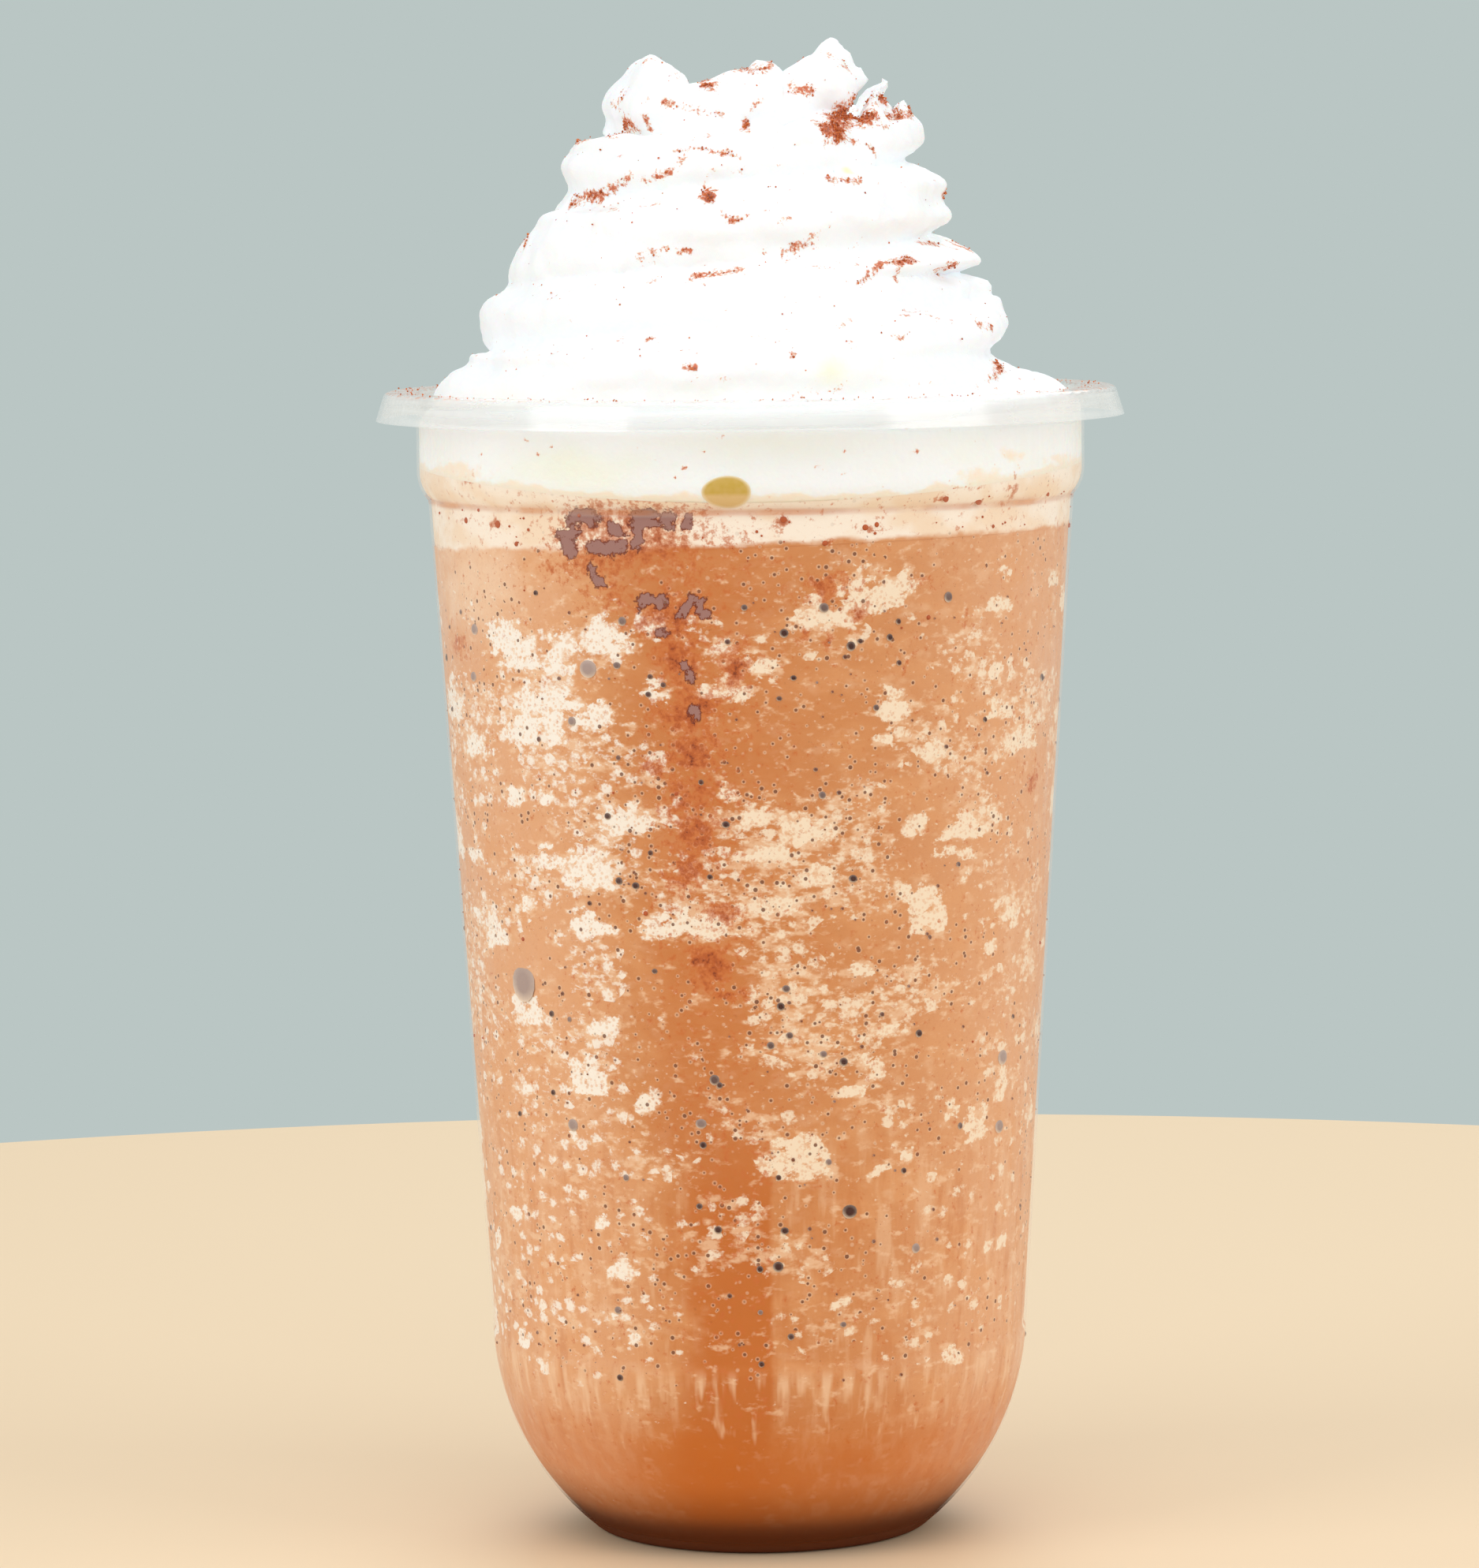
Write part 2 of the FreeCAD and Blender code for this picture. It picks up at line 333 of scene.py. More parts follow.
def addWorld():
    world = startNodes(bpy.data.worlds.new("studioWorld"))
    rays = added("LightPath").outputs
    seen = calc("MAXIMUM", rays["Is Camera Ray"], rays["Is Glossy Ray"])
    seen = calc("MAXIMUM", seen, rays["Is Transmission Ray"])
    light = feed(added("Background"), Color=(1, 1, 1, 1), Strength=studio["worldStrength"])
    backdrop = feed(added("Background"), Color=studio["backdropColour"])
    close(blended(seen, light.outputs[0], backdrop.outputs[0]), "World")
    bpy.context.scene.world = world


def addLamps():
    for i, (place, size, watts) in enumerate(studio["lamps"]):
        lamp = bpy.data.lights.new(f"softbox{i}", "AREA")
        lamp.size = size
        lamp.energy = watts
        holder = linked(f"softbox{i}", lamp)
        holder.location = place
        towards = Vector((0, 0, 0.1)) - Vector(place)
        holder.rotation_euler = towards.to_track_quat("-Z", "Y").to_euler()


def addFloor():
    mesh = bmesh.new()
    bmesh.ops.create_circle(mesh, cap_ends=True, segments=180, radius=studio["floorRadius"])
    floor = linked("floor", meshOf("floor", mesh))
    floor.data.materials.append(newMaterial("floorPaint"))
    close(principled(studio["floorColour"], 0.6))


addCamera()
addWorld()
addLamps()
addFloor()
bpy.context.scene.view_settings.view_transform = "Standard"
print("studio ready")


# the cup's shape, as far as the contents need it
cup = {
    "rimDiameter": 95.0,
    "height": 146.0,
    "wall": 0.6,
    "flangeWidth": 5.1,
    "shoulderDepth": 13.7,
    "beadHeight": 3.5,
    "beadStep": 1.4,
    "taperAngle": 3.63,
    "bowlCentre": 27.6,
    "bowlRadius": 34.6,
    "recessDepth": 1.2,
    "haze": 0.012,              # milkiness of one face of the thin wall, 0 to 1
    "neckHaze": 0.05,
    "rimHaze": 0.25,
    "edgeHaze": 0.42,
    "colour": (250, 253, 252),
    "dust": (236, 146, 92),
    "crease": (226, 152, 100),
    "underside": (112, 58, 28),
    "roughness": 0.12,
}
taper = math.radians(cup["taperAngle"])
neckRadius = cup["rimDiameter"] / 2 - cup["flangeWidth"]
creaseRadius = neckRadius - cup["beadStep"]
creaseHeight = cup["height"] - cup["shoulderDepth"]
beadRound = (cup["beadHeight"] ** 2 + cup["beadStep"] ** 2) / (2 * cup["beadStep"])
beadCentre = (neckRadius - beadRound, creaseHeight + cup["beadHeight"])
intoWall = 0.35                 # what fills the cup reaches to this far under its outside


def roomRadius(z, inset):
    # radius of the room inside the cup, inset from its outside
    bowlTop = cup["bowlCentre"] - cup["bowlRadius"] * math.sin(taper)
    body = creaseRadius - (creaseHeight - z) * math.tan(taper) - inset / math.cos(taper)
    if z < bowlTop:
        return math.sqrt(max(0, (cup["bowlRadius"] - inset) ** 2 - (z - cup["bowlCentre"]) ** 2))
    if z >= beadCentre[1]:
        return neckRadius - inset
    if z > creaseHeight - 1:
        bead = beadCentre[0] + math.sqrt(max(0, (beadRound - inset) ** 2 - (z - beadCentre[1]) ** 2))
        return body if z < creaseHeight else max(bead, min(body, bead))
    return body


def clearPlastic():
    # thin moulded plastic: see-through, milky where it is thick or seen edge-on
    material = newMaterial("clearPlastic")
    point = objectPoint()
    x, y, height = parts(point)
    radius = calc("SQRT", times(x, x, times(y, y)))
    rim = stepped(radius, (neckRadius + 0.3) * mm, (neckRadius + 1.0) * mm)
    facing = feed(added("LayerWeight"), Blend=0.25).outputs["Facing"]
    edge = calc("POWER", facing, 2.0)
    # painted highlights: vertical streaks in the edge-on milkiness stand in for lamps reflected in the wall
    glintStreaks = grain(stretched(point, 1, 1, 0.10), 1.6, 2)
    edge = times(edge, stepped(glintStreaks, 0.35, 0.68, 0.75, 1.5))
    rings = grain(stretched(point, 0.12, 0.12, 3.0), 3, 1)
    rim = times(rim, stepped(rings, 0.35, 0.65, 0.85, 1.3))
    edge = times(edge, stepped(height, 0.003, 0.016, 0.15, 1.0))
    low, high = (creaseHeight - 0.5) * mm, (creaseHeight + 2) * mm
    neck = stepped(height, low, high, cup["haze"], cup["neckHaze"])
    haze = calc("MAXIMUM", neck, times(rim, cup["rimHaze"]))
    cloud = stepped(grain(point, 14, 2), 0.3, 0.7, 0.8, 1.2)
    share = times(edge, cup["edgeHaze"], haze)
    share = times(share, cloud)
    # cocoa dust lies on top of the rim
    lying = stepped(height, (cup["height"] - 0.35) * mm, (cup["height"] - 0.05) * mm)
    dust = times(lying, stepped(grain(point, 1.5, 4, 0.65), 0.42, 0.62))
    dust = times(dust, stepped(calc("ABSOLUTE", x), 0.022, 0.044, 0.35, 1.0))
    colour = mixed(dust, cup["colour"], cup["dust"])
    share = times(dust, 0.5, share)
    # an orange line along the crease under the shoulder, broken up
    crease = calc("ABSOLUTE", calc("SUBTRACT", height, creaseHeight * mm))
    broken = stepped(grain(point, 7, 3), 0.3, 0.6)
    crease = times(stepped(crease, 0.0007, 0.0002), broken)
    colour = mixed(crease, colour, cup["crease"])
    share = times(crease, 0.35, share)
    # the drink shows through the thick foot, painted dark brown there as shade towards the table
    foot = stepped(height, 0.0060, 0.0004)
    colour = mixed(stepped(height, 0.011, 0.0045), colour, cup["underside"])
    share = times(foot, 0.9, share)
    share = calc("MINIMUM", share, 1.0)
    ripple = grain(stretched(point, 1, 1, 0.35), 5, 1)
    normal = bumped(ripple, 0.5, 0.10)
    dull = stepped(height, 0.0025, 0.009, 0.95, cup["roughness"])
    shine = stepped(height, 0.0018, 0.008, 0.05, 0.5)
    body = principled(colour, dull, Normal=normal, IOR=1.9, Specular_IOR_Level=shine)
    close(blended(share, added("BsdfTransparent").outputs[0], body))
    return material


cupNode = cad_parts["cup"]
plastic = clearPlastic()
for slot in cupNode.material_slots:
    slot.material = plastic
print("cup dressed")


# drink and foam, seen through the wall
drink = {
    "belowCrease": 4.9,         # level under the crease, on the axis
    "tiltX": 1.5,
    "tiltY": -0.9,
    "columns": 480,
    "rowHeight": 0.68,
    "tiltFrom": 100,            # the level's tilt fades out down to this height
    # painted light: the drink's paler colours at its sides, where lamps at the sides light it
    "palestLitSide": (243, 206, 172),
    "side": (230, 174, 130),
    "base": (211, 141, 86),
    "deep": (200, 114, 48),
    "pale": (228, 166, 114),
    "fleck": (253, 248, 238),
    # tan of the flecks, also the painted light of the pale halos round the small bubbles
    "fleckTanAndHaloLight": (249, 231, 205),
    "softFleck": (243, 205, 168),
    "foam": (249, 226, 199),
    "foamPale": (254, 242, 226),
    "orange": (206, 112, 54),
    "smear": (182, 88, 38),
    "stain": (118, 48, 22),
    "chocolate": (166, 124, 116),
    "chocolateEdge": (112, 42, 26),
    # painted shade: the dark inside of the small bubbles
    "pinholeShade": (108, 54, 28),
    # painted shade: the drink darkening towards the table
    "bottom": (104, 50, 22),
    "lowOrange": (206, 112, 28),
    "seed": 11,
    # flecks at the front: arc from the front, height of the flat lower edge, width, height
    "flecks": (
        (14.5, 120.6, 8, 4.4), (18.5, 122.4, 4, 2.6), (9, 118.2, 8, 2.8), (6.5, 120.8, 3, 1.3),
        (-33, 114.6, 9, 3.9), (-30, 113.0, 9, 2.2), (-23.5, 115.2, 4, 2.2), (-17.5, 115.0, 7, 4.6),
        (-25, 112.3, 5, 2.5), (-27.5, 107.5, 11, 3.8), (-29, 103.5, 12, 4.2), (-20, 106.3, 7, 2.8),
        (-12.3, 118.2, 3.6, 2.4), (-12, 109.8, 4, 2), (-3, 109.7, 6, 2), (-3.6, 115.6, 2.6, 1.5),
        (1.2, 112.9, 2.6, 1.7), (17, 106.8, 4.6, 3.5), (16.3, 104.1, 2.8, 1), (23, 101.5, 4.8, 2.3),
        (33, 119.4, 7, 1.4), (33.6, 111.5, 3.2, 1), (34, 123.7, 2.8, 0.9), (47, 121.6, 5, 1.6),
        (34, 105.8, 6, 3), (40, 101.5, 9, 3.4), (-42, 101.4, 9, 2.2), (-34, 95.8, 5, 2),
        (-28, 96.4, 3, 0.9), (-16, 93.0, 8, 3.4), (-3, 97.0, 3.2, 2.3), (6.5, 92.0, 6.5, 3.2),
        (0, 94.3, 3, 2), (28, 91.3, 7, 3), (33.5, 93, 2.6, 1.5), (20, 92.4, 4.4, 1.6),
        (-22, 86.4, 6.8, 4.6), (-28, 87.8, 5, 2.6), (-22.5, 80.3, 5.4, 3.2), (-19, 80.4, 3.4, 1.1),
        (-8, 80.4, 14, 3.2), (2.5, 83.1, 5.4, 2.2), (8, 86.8, 3.8, 2.2), (1.5, 89.8, 5, 2.2),
        (23, 80, 5.6, 4.8), (21, 84, 6.6, 2), (29, 86.2, 3, 1), (27, 88.8, 8, 1.6), (-45, 87.8, 7, 1.7),
        (-40, 77.6, 6, 3.4), (-46, 80, 4, 1.8), (-32, 82.6, 3.4, 1.4), (-34.2, 68.5, 6.4, 3.6),
        (-20.5, 68.2, 5.4, 1.8), (-24, 60.2, 6.4, 4.4), (15, 62.2, 3.8, 3.2), (12, 60.1, 3.4, 1.2),
        (13, 75.2, 4, 1.6), (34.5, 76.8, 3.2, 1.1), (39, 79, 5.4, 3), (18, 67.2, 5, 1.4),
        (5, 50.2, 10, 5), (33, 52.8, 5.6, 4.4), (28.3, 56.3, 2.8, 2.8), (38.5, 57.4, 3.4, 4.4),
        (20.5, 52, 2.4, 1.6), (16.5, 50, 3, 1.1), (-26.3, 53.6, 2.4, 1.6), (-14.3, 58.4, 2.8, 1.7),
        (-36, 59, 3.2, 1.6), (-19.5, 37.2, 4.4, 2.2), (-22.5, 43.4, 2.4, 1.6), (-40, 42.4, 3.4, 2.2),
        (-48, 38, 2.8, 2), (-18.5, 28.7, 2.4, 1.7), (-21, 31.6, 2.8, 1.1), (29.5, 24.9, 4, 2.5),
        (37.5, 38.9, 3.4, 1.1), (41.5, 38.9, 3, 1.1), (12, 33.7, 1.8, 0.9), (-34.5, 23.4, 2.8, 2.2),
        (-41, 25.9, 3.4, 2.2),
    ),
    "flecksBehind": 110,
    # thin chocolate on the wall: arc, height of its middle, width, height, slant
    "chocolates": (
        (-20.3, 131.6, 4.6, 1.9, 0.0), (-22.2, 129.7, 3.4, 1.5, 0.0), (-22.4, 128.0, 1.9, 3.2, -0.4),
        (-17.2, 128.1, 4.6, 1.9, 0.2), (-12.6, 131.4, 3.3, 2.3, 0.0), (-13.4, 129.3, 1.6, 3.4, 0.2),
        (-16.0, 130.3, 2.1, 1.6, -0.3), (-9.7, 131.4, 1.7, 2.5, 0.1), (-7.4, 131.2, 1.1, 2.2, 0.1),
        (-18.9, 124.4, 1.5, 3.2, -0.5), (-12.0, 121.5, 3.6, 1.9, 0.0), (-7.8, 120.6, 1.4, 2.6, 0.3),
        (-5.8, 120.8, 1.2, 2.8, -0.1), (-6.8, 122.0, 2.2, 0.9, 0.0), (-7.9, 112.8, 1.1, 3.0, -0.3),
        (-7.0, 107.9, 1.4, 2.4, -0.2), (-11.0, 117.5, 1.6, 1.4, 0.3),
    ),
    # brown smears: arc, height, width, height, strength
    "smears": (
        (-16, 129, 17, 9, 0.75), (-21, 125.5, 9, 4, 0.6), (-17, 122, 7, 5, 0.55),
        (-10.5, 119.5, 8, 5, 0.7), (-9, 114.5, 5, 5, 0.85), (-2, 113.5, 4, 4.5, 0.8),
        (-7.2, 108, 5, 5, 0.95), (-10, 107.5, 9, 2.5, 0.5), (-8, 102.5, 6, 4.5, 0.8),
        (-12.5, 101, 4, 3, 0.55), (-8, 97.5, 7, 4, 0.55), (-7.5, 93, 5, 5, 0.8), (-8.5, 88.5, 6, 4, 0.75),
        (-3.8, 83, 4, 3, 0.65), (-6, 76.5, 5, 4.5, 0.85), (-3, 72.8, 3, 1.2, 0.9),
        (8.5, 122.6, 6, 3.6, 0.8), (12.9, 119.6, 2.2, 3.4, 0.85), (5.8, 117.3, 1.8, 1.6, 0.75),
        (9, 116.6, 1.6, 1.2, 0.7), (19.6, 114.3, 1.6, 2, 0.6), (-45.5, 114.8, 5, 4, 0.55),
        (43.5, 97.2, 3, 3, 0.7), (28.2, 118.6, 1.2, 3, 0.7), (20.4, 123, 1.4, 1.4, 0.6),
        (-37.5, 136.2, 3, 2.6, 0.35), (28, 135.6, 3.6, 3, 0.3), (33.3, 133.6, 1.6, 2.6, 0.5),
        (23.2, 133.4, 1.0, 0.9, 0.85), (28.2, 132.8, 1.6, 0.8, 0.85), (3.6, 131.4, 0.8, 1.2, 0.95),
        (8.4, 128.4, 0.9, 0.8, 0.95), (13.2, 130.2, 4.0, 0.5, 0.6), (-33.6, 130.4, 1.4, 1.4, 0.6),
        (-40.5, 130.6, 1.4, 1.0, 0.5),
    ),
    "smearsBehind": 26,
}
foam = {
    "overCrease": 2.7,
    "wave": 1.5,
    "rows": 20,
}
wallArc = 38.0                  # arcs along the wall are taken at this radius
halfRound = math.pi * wallArc


def placedAt(x, y, height, radius=None):
    # a point in metres, moved straight out or in to a radius where one is given
    share = radius / math.hypot(x, y) if radius else 1
    return Vector((x * share, y * share, height)) * mm


def drinkLevel(x, y):
    rise = math.tan(math.radians(drink["tiltX"])) * x + math.tan(math.radians(drink["tiltY"])) * y
    return creaseHeight - drink["belowCrease"] + rise


def foamEdge(angle):
    # height of the foam's top at the wall, angle counter-clockwise from +X
    return creaseHeight + foam["overCrease"] - foam["wave"] * math.cos(2 * (angle - 1.5 * math.pi))


def arcsOf(points):
    return np.radians(bearings(points)) * wallArc


def arcTo(arc, at):
    # shortest way round the wall
    return (arc - at + halfRound) % (2 * halfRound) - halfRound


def placeBehind(dice, clear):
    # arc of a place on the wall, at least clear millimetres away from the front
    return dice.uniform(clear, 2 * halfRound - clear)


def fleckField(arc, height, spots):
    # flat below, crowned above
    field = np.zeros(len(arc))
    for at, foot, wide, tall in spots:
        near = np.nonzero((np.abs(arcTo(arc, at)) < wide) & (np.abs(height - foot) < 2 * tall + 2))[0]
        across = np.abs(arcTo(arc[near], at)) / (wide * 0.56)
        up = (height[near] - foot) / (tall * 1.1)
        shape = 1.25 - across ** 2.6 - np.where(up > 0, up ** 2, (up * tall / 0.55) ** 2)
        field[near] = np.maximum(field[near], np.clip(shape, 0, 1))
    return field


def blotField(arc, height, spots):
    # slanted ovals with a plateau
    field = np.zeros(len(arc))
    for at, middle, wide, tall, slant in spots:
        up = height - middle
        across = (arcTo(arc, at) - slant * up) / (wide / 2)
        shape = 1 - (np.abs(across) ** 3 + np.abs(up / (tall / 2)) ** 3) * 0.5
        field = np.maximum(field, np.clip(shape, 0, 1))
    return field


def smearField(arc, height, spots):
    field = np.zeros(len(arc))
    for at, middle, wide, tall, strength in spots:
        far = (arcTo(arc, at) / (wide / 2)) ** 2 + ((height - middle) / (tall / 2)) ** 2
        field = np.maximum(field, strength * np.exp(-0.9 * far))
    return field


def depthAndSideLightField(points, arc, height):
    # the drink's depth of colour: its own dark band down the front and milky parts at the sides, under
    # painted shade and light that leave the front deeper and the sides paler, as lamps at the sides light it
    soft = np.exp(-((arc + 8) / (8.5 + 2.5 * ease(height, 80, 95))) ** 2)
    sharp = ease(arc, -17, -4) * (1 - ease(arc, 0.8, 2.2))
    low = ease(height, 58, 48) * ease(height, 14, 24)
    band = soft * (1 - low) + sharp * low
    # painted shade and light: deeper across the front, paler towards the sides
    paintedFrontShade = np.exp(-((arc - 1) / np.where(arc < 1, 22, 30)) ** 2)
    patchy = ease(grainField(points, 22, 77.0, 2), -0.1, 0.7) * ease(np.abs(arc), 45, 70)
    milky = np.exp(-((arc + 40) / 15) ** 2) * ease(height, 112, 122)
    milky = np.maximum(milky, ease(grainField(points, 26, 13.0, 2), 0.3, 0.9) * ease(np.abs(arc), 50, 80))
    return np.clip(0.2 + 0.4 * np.maximum(paintedFrontShade, patchy * 0.8) + 0.4 * band - 0.2 * milky, 0, 1)


def crowdField(flat, arc, height):
    # where small flecks crowd together
    crowd = ease(grainField(flat, 16, 9.0, 3), -0.25, 0.5)
    crowd = np.maximum(crowd, 0.62 * np.exp(-((arc + 32) / 17) ** 2) * (1 - ease(height, 58, 74)))
    crowd *= ease(height, 22, 32) * (1 - ease(height, 116, 123)) * (1 - 0.25 * ease(height, 66, 48))
    crowd *= 1 - 0.6 * ease(height, 66, 48) * ease(arc, 10, 24) * (1 - ease(arc, 50, 60))
    return crowd


def dotField(points, arc, height):
    # share of the pinholes that show
    dots = np.clip(0.30 + grainField(points, 13, 17.0, 2) * 0.5, 0, 0.6) * ease(height, 22, 30)
    dots += 0.28 * np.exp(-((arc - 1) / 17) ** 2) * ease(height, 52, 66) * (1 - ease(height, 108, 118))
    dots *= 1 - 0.6 * np.exp(-((arc - 26) / 13) ** 2 - ((height - 46) / 16) ** 2)
    return dots


def markWall(data):
    # flecks, smears and chocolate, and the drink's depth of colour with its painted front shade and side
    # light, as fields over the wall
    points = readVerts(data)
    dice = random.Random(drink["seed"])
    arc = arcsOf(points)
    flecks = list(drink["flecks"])
    for _ in range(drink["flecksBehind"]):
        wide = dice.uniform(2.0, 9.0)
        place = placeBehind(dice, 50)
        flecks.append((place, dice.uniform(24, 121), wide, wide * dice.uniform(0.3, 0.6)))
    smears = list(drink["smears"])
    for _ in range(drink["smearsBehind"]):
        place = placeBehind(dice, 52)
        height, wide, tall = dice.uniform(70, 134), dice.uniform(1, 5), dice.uniform(1, 5)
        smears.append((place, height, wide, tall, dice.uniform(0.3, 0.8)))
    height = points[:, 2]
    flat = points * np.array([1, 1, 1.7])
    # the shapes wander a little, so that none is a plain oval
    arcLost = arc + 1.5 * grainField(flat, 4.5, 40.0, 2)
    heightLost = height + 0.8 * grainField(flat, 4.5, 60.0, 2)
    ragged = grainField(flat, 1.7, 4.0, 3)
    fleck = fleckField(arcLost, heightLost, flecks)
    fleck = np.clip(fleck + ragged * 0.75 * ease(fleck, 0.0, 0.35), 0, 1.1)
    smear = smearField(arcLost, heightLost, smears)
    arcTorn = arc + 0.75 * grainField(flat, 1.9, 140.0, 2)
    heightTorn = height + 0.6 * grainField(flat, 1.9, 150.0, 2)
    chocolate = blotField(arcTorn, heightTorn, drink["chocolates"])
    writeField(data, "marks", fleck, smear, chocolate)
    writeField(data, "shade", depthAndSideLightField(points, arc, height), crowdField(flat, arc, height),
               dotField(points, arc, height))


def foamOver(point, flat):
    # where foam shows: a fuzzy line over the drink's tilted level
    x, y, z = parts(point)
    level = times(x, math.tan(math.radians(drink["tiltX"])))
    level = times(y, math.tan(math.radians(drink["tiltY"])), level)
    above = calc("SUBTRACT", z, level)
    ragged = times(grain(flat, 5, 3), 0.0026, above)
    line = (creaseHeight - drink["belowCrease"]) * mm + 0.0015
    return stepped(ragged, line - 0.0003, line + 0.0006)


def drinkTone(shade, cloud, haze, flow, low, fine):
    # painted light and shade: paler at the sides and deeper down the middle of the front, as lamps at the
    # sides light it; the dark band there is the drink's own
    colour = mixed(stepped(shade[0], 0.02, 0.2), drink["palestLitSide"], drink["side"])
    colour = coated(colour, shade[0], (0.2, 0.6, 1.0, drink["base"]))
    colour = coated(colour, cloud, (0.42, 0.70, 0.55, drink["pale"]))
    colour = coated(colour, haze, (0.52, 0.74, 0.35, drink["softFleck"]))
    light = times(stepped(flow, 0.52, 0.68, 0, 0.4), low)
    colour = mixed(light, colour, drink["softFleck"])
    dim = times(stepped(flow, 0.47, 0.32, 0, 0.35), low)
    colour = mixed(dim, colour, drink["deep"])
    deep = stepped(times(haze, 0.5, shade[0]), 0.78, 1.2)
    colour = mixed(times(deep, times(low, 0.45, 0.55)), colour, drink["deep"])
    return coated(colour, fine, (0.0, 0.25, 0.16, drink["deep"]))


def fleckShare(point, flat, marks, shade, low, fine):
    # large flecks from the field, round ones in crowds, and a fine grain, all with pores
    blobs = speckle(flat, 1.5, 3, 0.6)
    reach = times(blobs, 2.1, times(marks[0], 0.9))
    large = stepped(times(fine, 1.1, reach), 0.40, 0.72, 0, 0.95)
    away, kind = cells(stretched(point, 1, 1, 1.2), 1.8)
    pick = parts(kind, "Color")
    flake = times(pick[0], -0.95, away)
    flake = times(blobs, 2.0, times(fine, 1.4, flake))
    kept = calc("LESS_THAN", pick[1], times(shade[1], 1.6))
    snow = times(stepped(flake, 0.25, -0.30, 0, 0.85), kept)
    small = times(shade[1], 0.12, grain(flat, 1.1, 4, 0.6))
    small = times(stepped(small, 0.62, 0.76, 0, 0.6), calc("SUBTRACT", 1.0, low))
    flecks = calc("MAXIMUM", large, calc("MAXIMUM", snow, small))
    return times(flecks, stepped(cells(point, 0.6)[0], 0.14, 0.26, 0.45, 1.0))


def pinholes(point, shade):
    # small bubbles at the wall: painted shade dark in each, with a pale halo of painted light
    away, kind = cells(point, 0.9)
    pick = parts(kind, "Color")
    outside = calc("SUBTRACT", away, times(pick[0], 0.22, 0.06))
    kept = calc("LESS_THAN", pick[1], shade[2])
    holeShade = times(times(stepped(outside, 0.05, -0.05), kept), 0.85)
    return holeShade, times(stepped(outside, 0.20, 0.06, 0, 0.28), kept)


def foamed(colour, share, cloud, fine, z):
    # foam over the drink, with a darker line in the crease
    tint = mixed(stepped(cloud, 0.4, 0.6), drink["foam"], drink["foamPale"])
    tint = coated(tint, fine, (0.05, 0.3, 0.35, drink["softFleck"]))
    colour = mixed(share, colour, tint)
    crease = calc("ABSOLUTE", calc("SUBTRACT", z, creaseHeight * mm))
    crease = times(stepped(crease, 0.0006, 0.0001), stepped(cloud, 0.3, 0.7))
    return mixed(times(crease, 0.4), colour, drink["orange"])


def stained(point, colour, marks, shade):
    # smears, then chocolate with a dark edge
    spread = times(speckle(point, 1.0, 5, 0.7), 3.0, marks[1])
    spread = times(stepped(shade[0], 0.65, 0.95), 0.16, spread)
    colour = coated(colour, spread, (0.22, 0.60, 0.7, drink["orange"]),
                    (0.55, 0.98, 0.8, drink["smear"]), (1.0, 1.35, 0.85, drink["stain"]))
    blot = times(speckle(point, 0.7, 5, 0.75), 2.1, marks[2])
    return coated(colour, blot, (0.30, 0.50, 0.92, drink["chocolateEdge"]),
                  (0.58, 0.68, 0.92, drink["chocolate"]))


def underneath(point, colour, shade, z):
    # fingers of drink over the round bottom, and painted shade darkening it towards the table
    warm = times(stepped(z, 0.023, 0.013), times(shade[0], 0.50, 0.42))
    colour = mixed(warm, colour, drink["lowOrange"])
    finger = times(z, 26.0, grain(stretched(point, 1, 1, 0.08), 1.5, 2))
    finger = times(stepped(finger, 1.04, 1.30), stepped(z, 0.0262, 0.0235))
    colour = mixed(times(finger, 0.75), colour, drink["softFleck"])
    return coated(colour, z, (0.0115, 0.001, 0.9, drink["bottom"]))


def mochaBlend():
    material = newMaterial("mochaBlend")
    point = objectPoint()
    marks = marksOf("marks")
    shade = marksOf("shade")
    x, _, z = parts(point)
    flat = stretched(point, 1, 1, 1.8)
    flow = grain(stretched(point, 1, 1, 0.18), 2.0, 3)
    low = stepped(z, 0.062, 0.044)
    cloud = grain(flat, 9, 3)
    haze = grain(flat, 3.4, 3)
    fine = speckle(point, 0.45, 4, 0.65)
    colour = drinkTone(shade, cloud, haze, flow, low, fine)
    # soft flecks lie under the surface, clear ones at the wall
    soft = times(marks[0], 0.22, times(shade[1], 0.15, grain(flat, 2.2, 3, 0.55)))
    colour = coated(colour, soft, (0.56, 0.74, 0.7, drink["softFleck"]))
    fleckTone = mixed(stepped(x, -0.024, 0.004), drink["fleck"], drink["fleckTanAndHaloLight"])
    colour = mixed(fleckShare(point, flat, marks, shade, low, fine), colour, fleckTone)
    holeShade, haloLight = pinholes(point, shade)
    # painted light: pale halos round the small bubbles
    colour = mixed(haloLight, colour, drink["fleckTanAndHaloLight"])
    foamShare = foamOver(point, flat)
    colour = foamed(colour, foamShare, cloud, fine, z)
    colour = mixed(times(holeShade, times(foamShare, -0.85, 1.0)), colour, drink["pinholeShade"])
    colour = stained(point, colour, marks, shade)
    colour = underneath(point, colour, shade, z)
    close(principled(colour, 0.5, Specular_IOR_Level=0.2))
    return material


def makeDrink(material):
    floor = cup["recessDepth"] + 0.35
    top = creaseHeight - drink["belowCrease"]
    side = [(roomRadius(z, intoWall), z) for z in heightSteps(floor, top, drink["rowHeight"])]
    profile = [(0, floor), (8, floor)] + side + [(r, top) for r in reversed(ringRadii)]
    mesh = spunMesh(profile, drink["columns"])
    for vert in mesh.verts:
        x, y, z = vert.co / mm
        share = max(0, (z - drink["tiltFrom"]) / (top - drink["tiltFrom"]))
        vert.co.z += share * (drinkLevel(x, y) - top) * mm
    piece = finishPiece("mochaDrink", mesh, material, "mocha_drink")
    markWall(piece.data)
    return piece


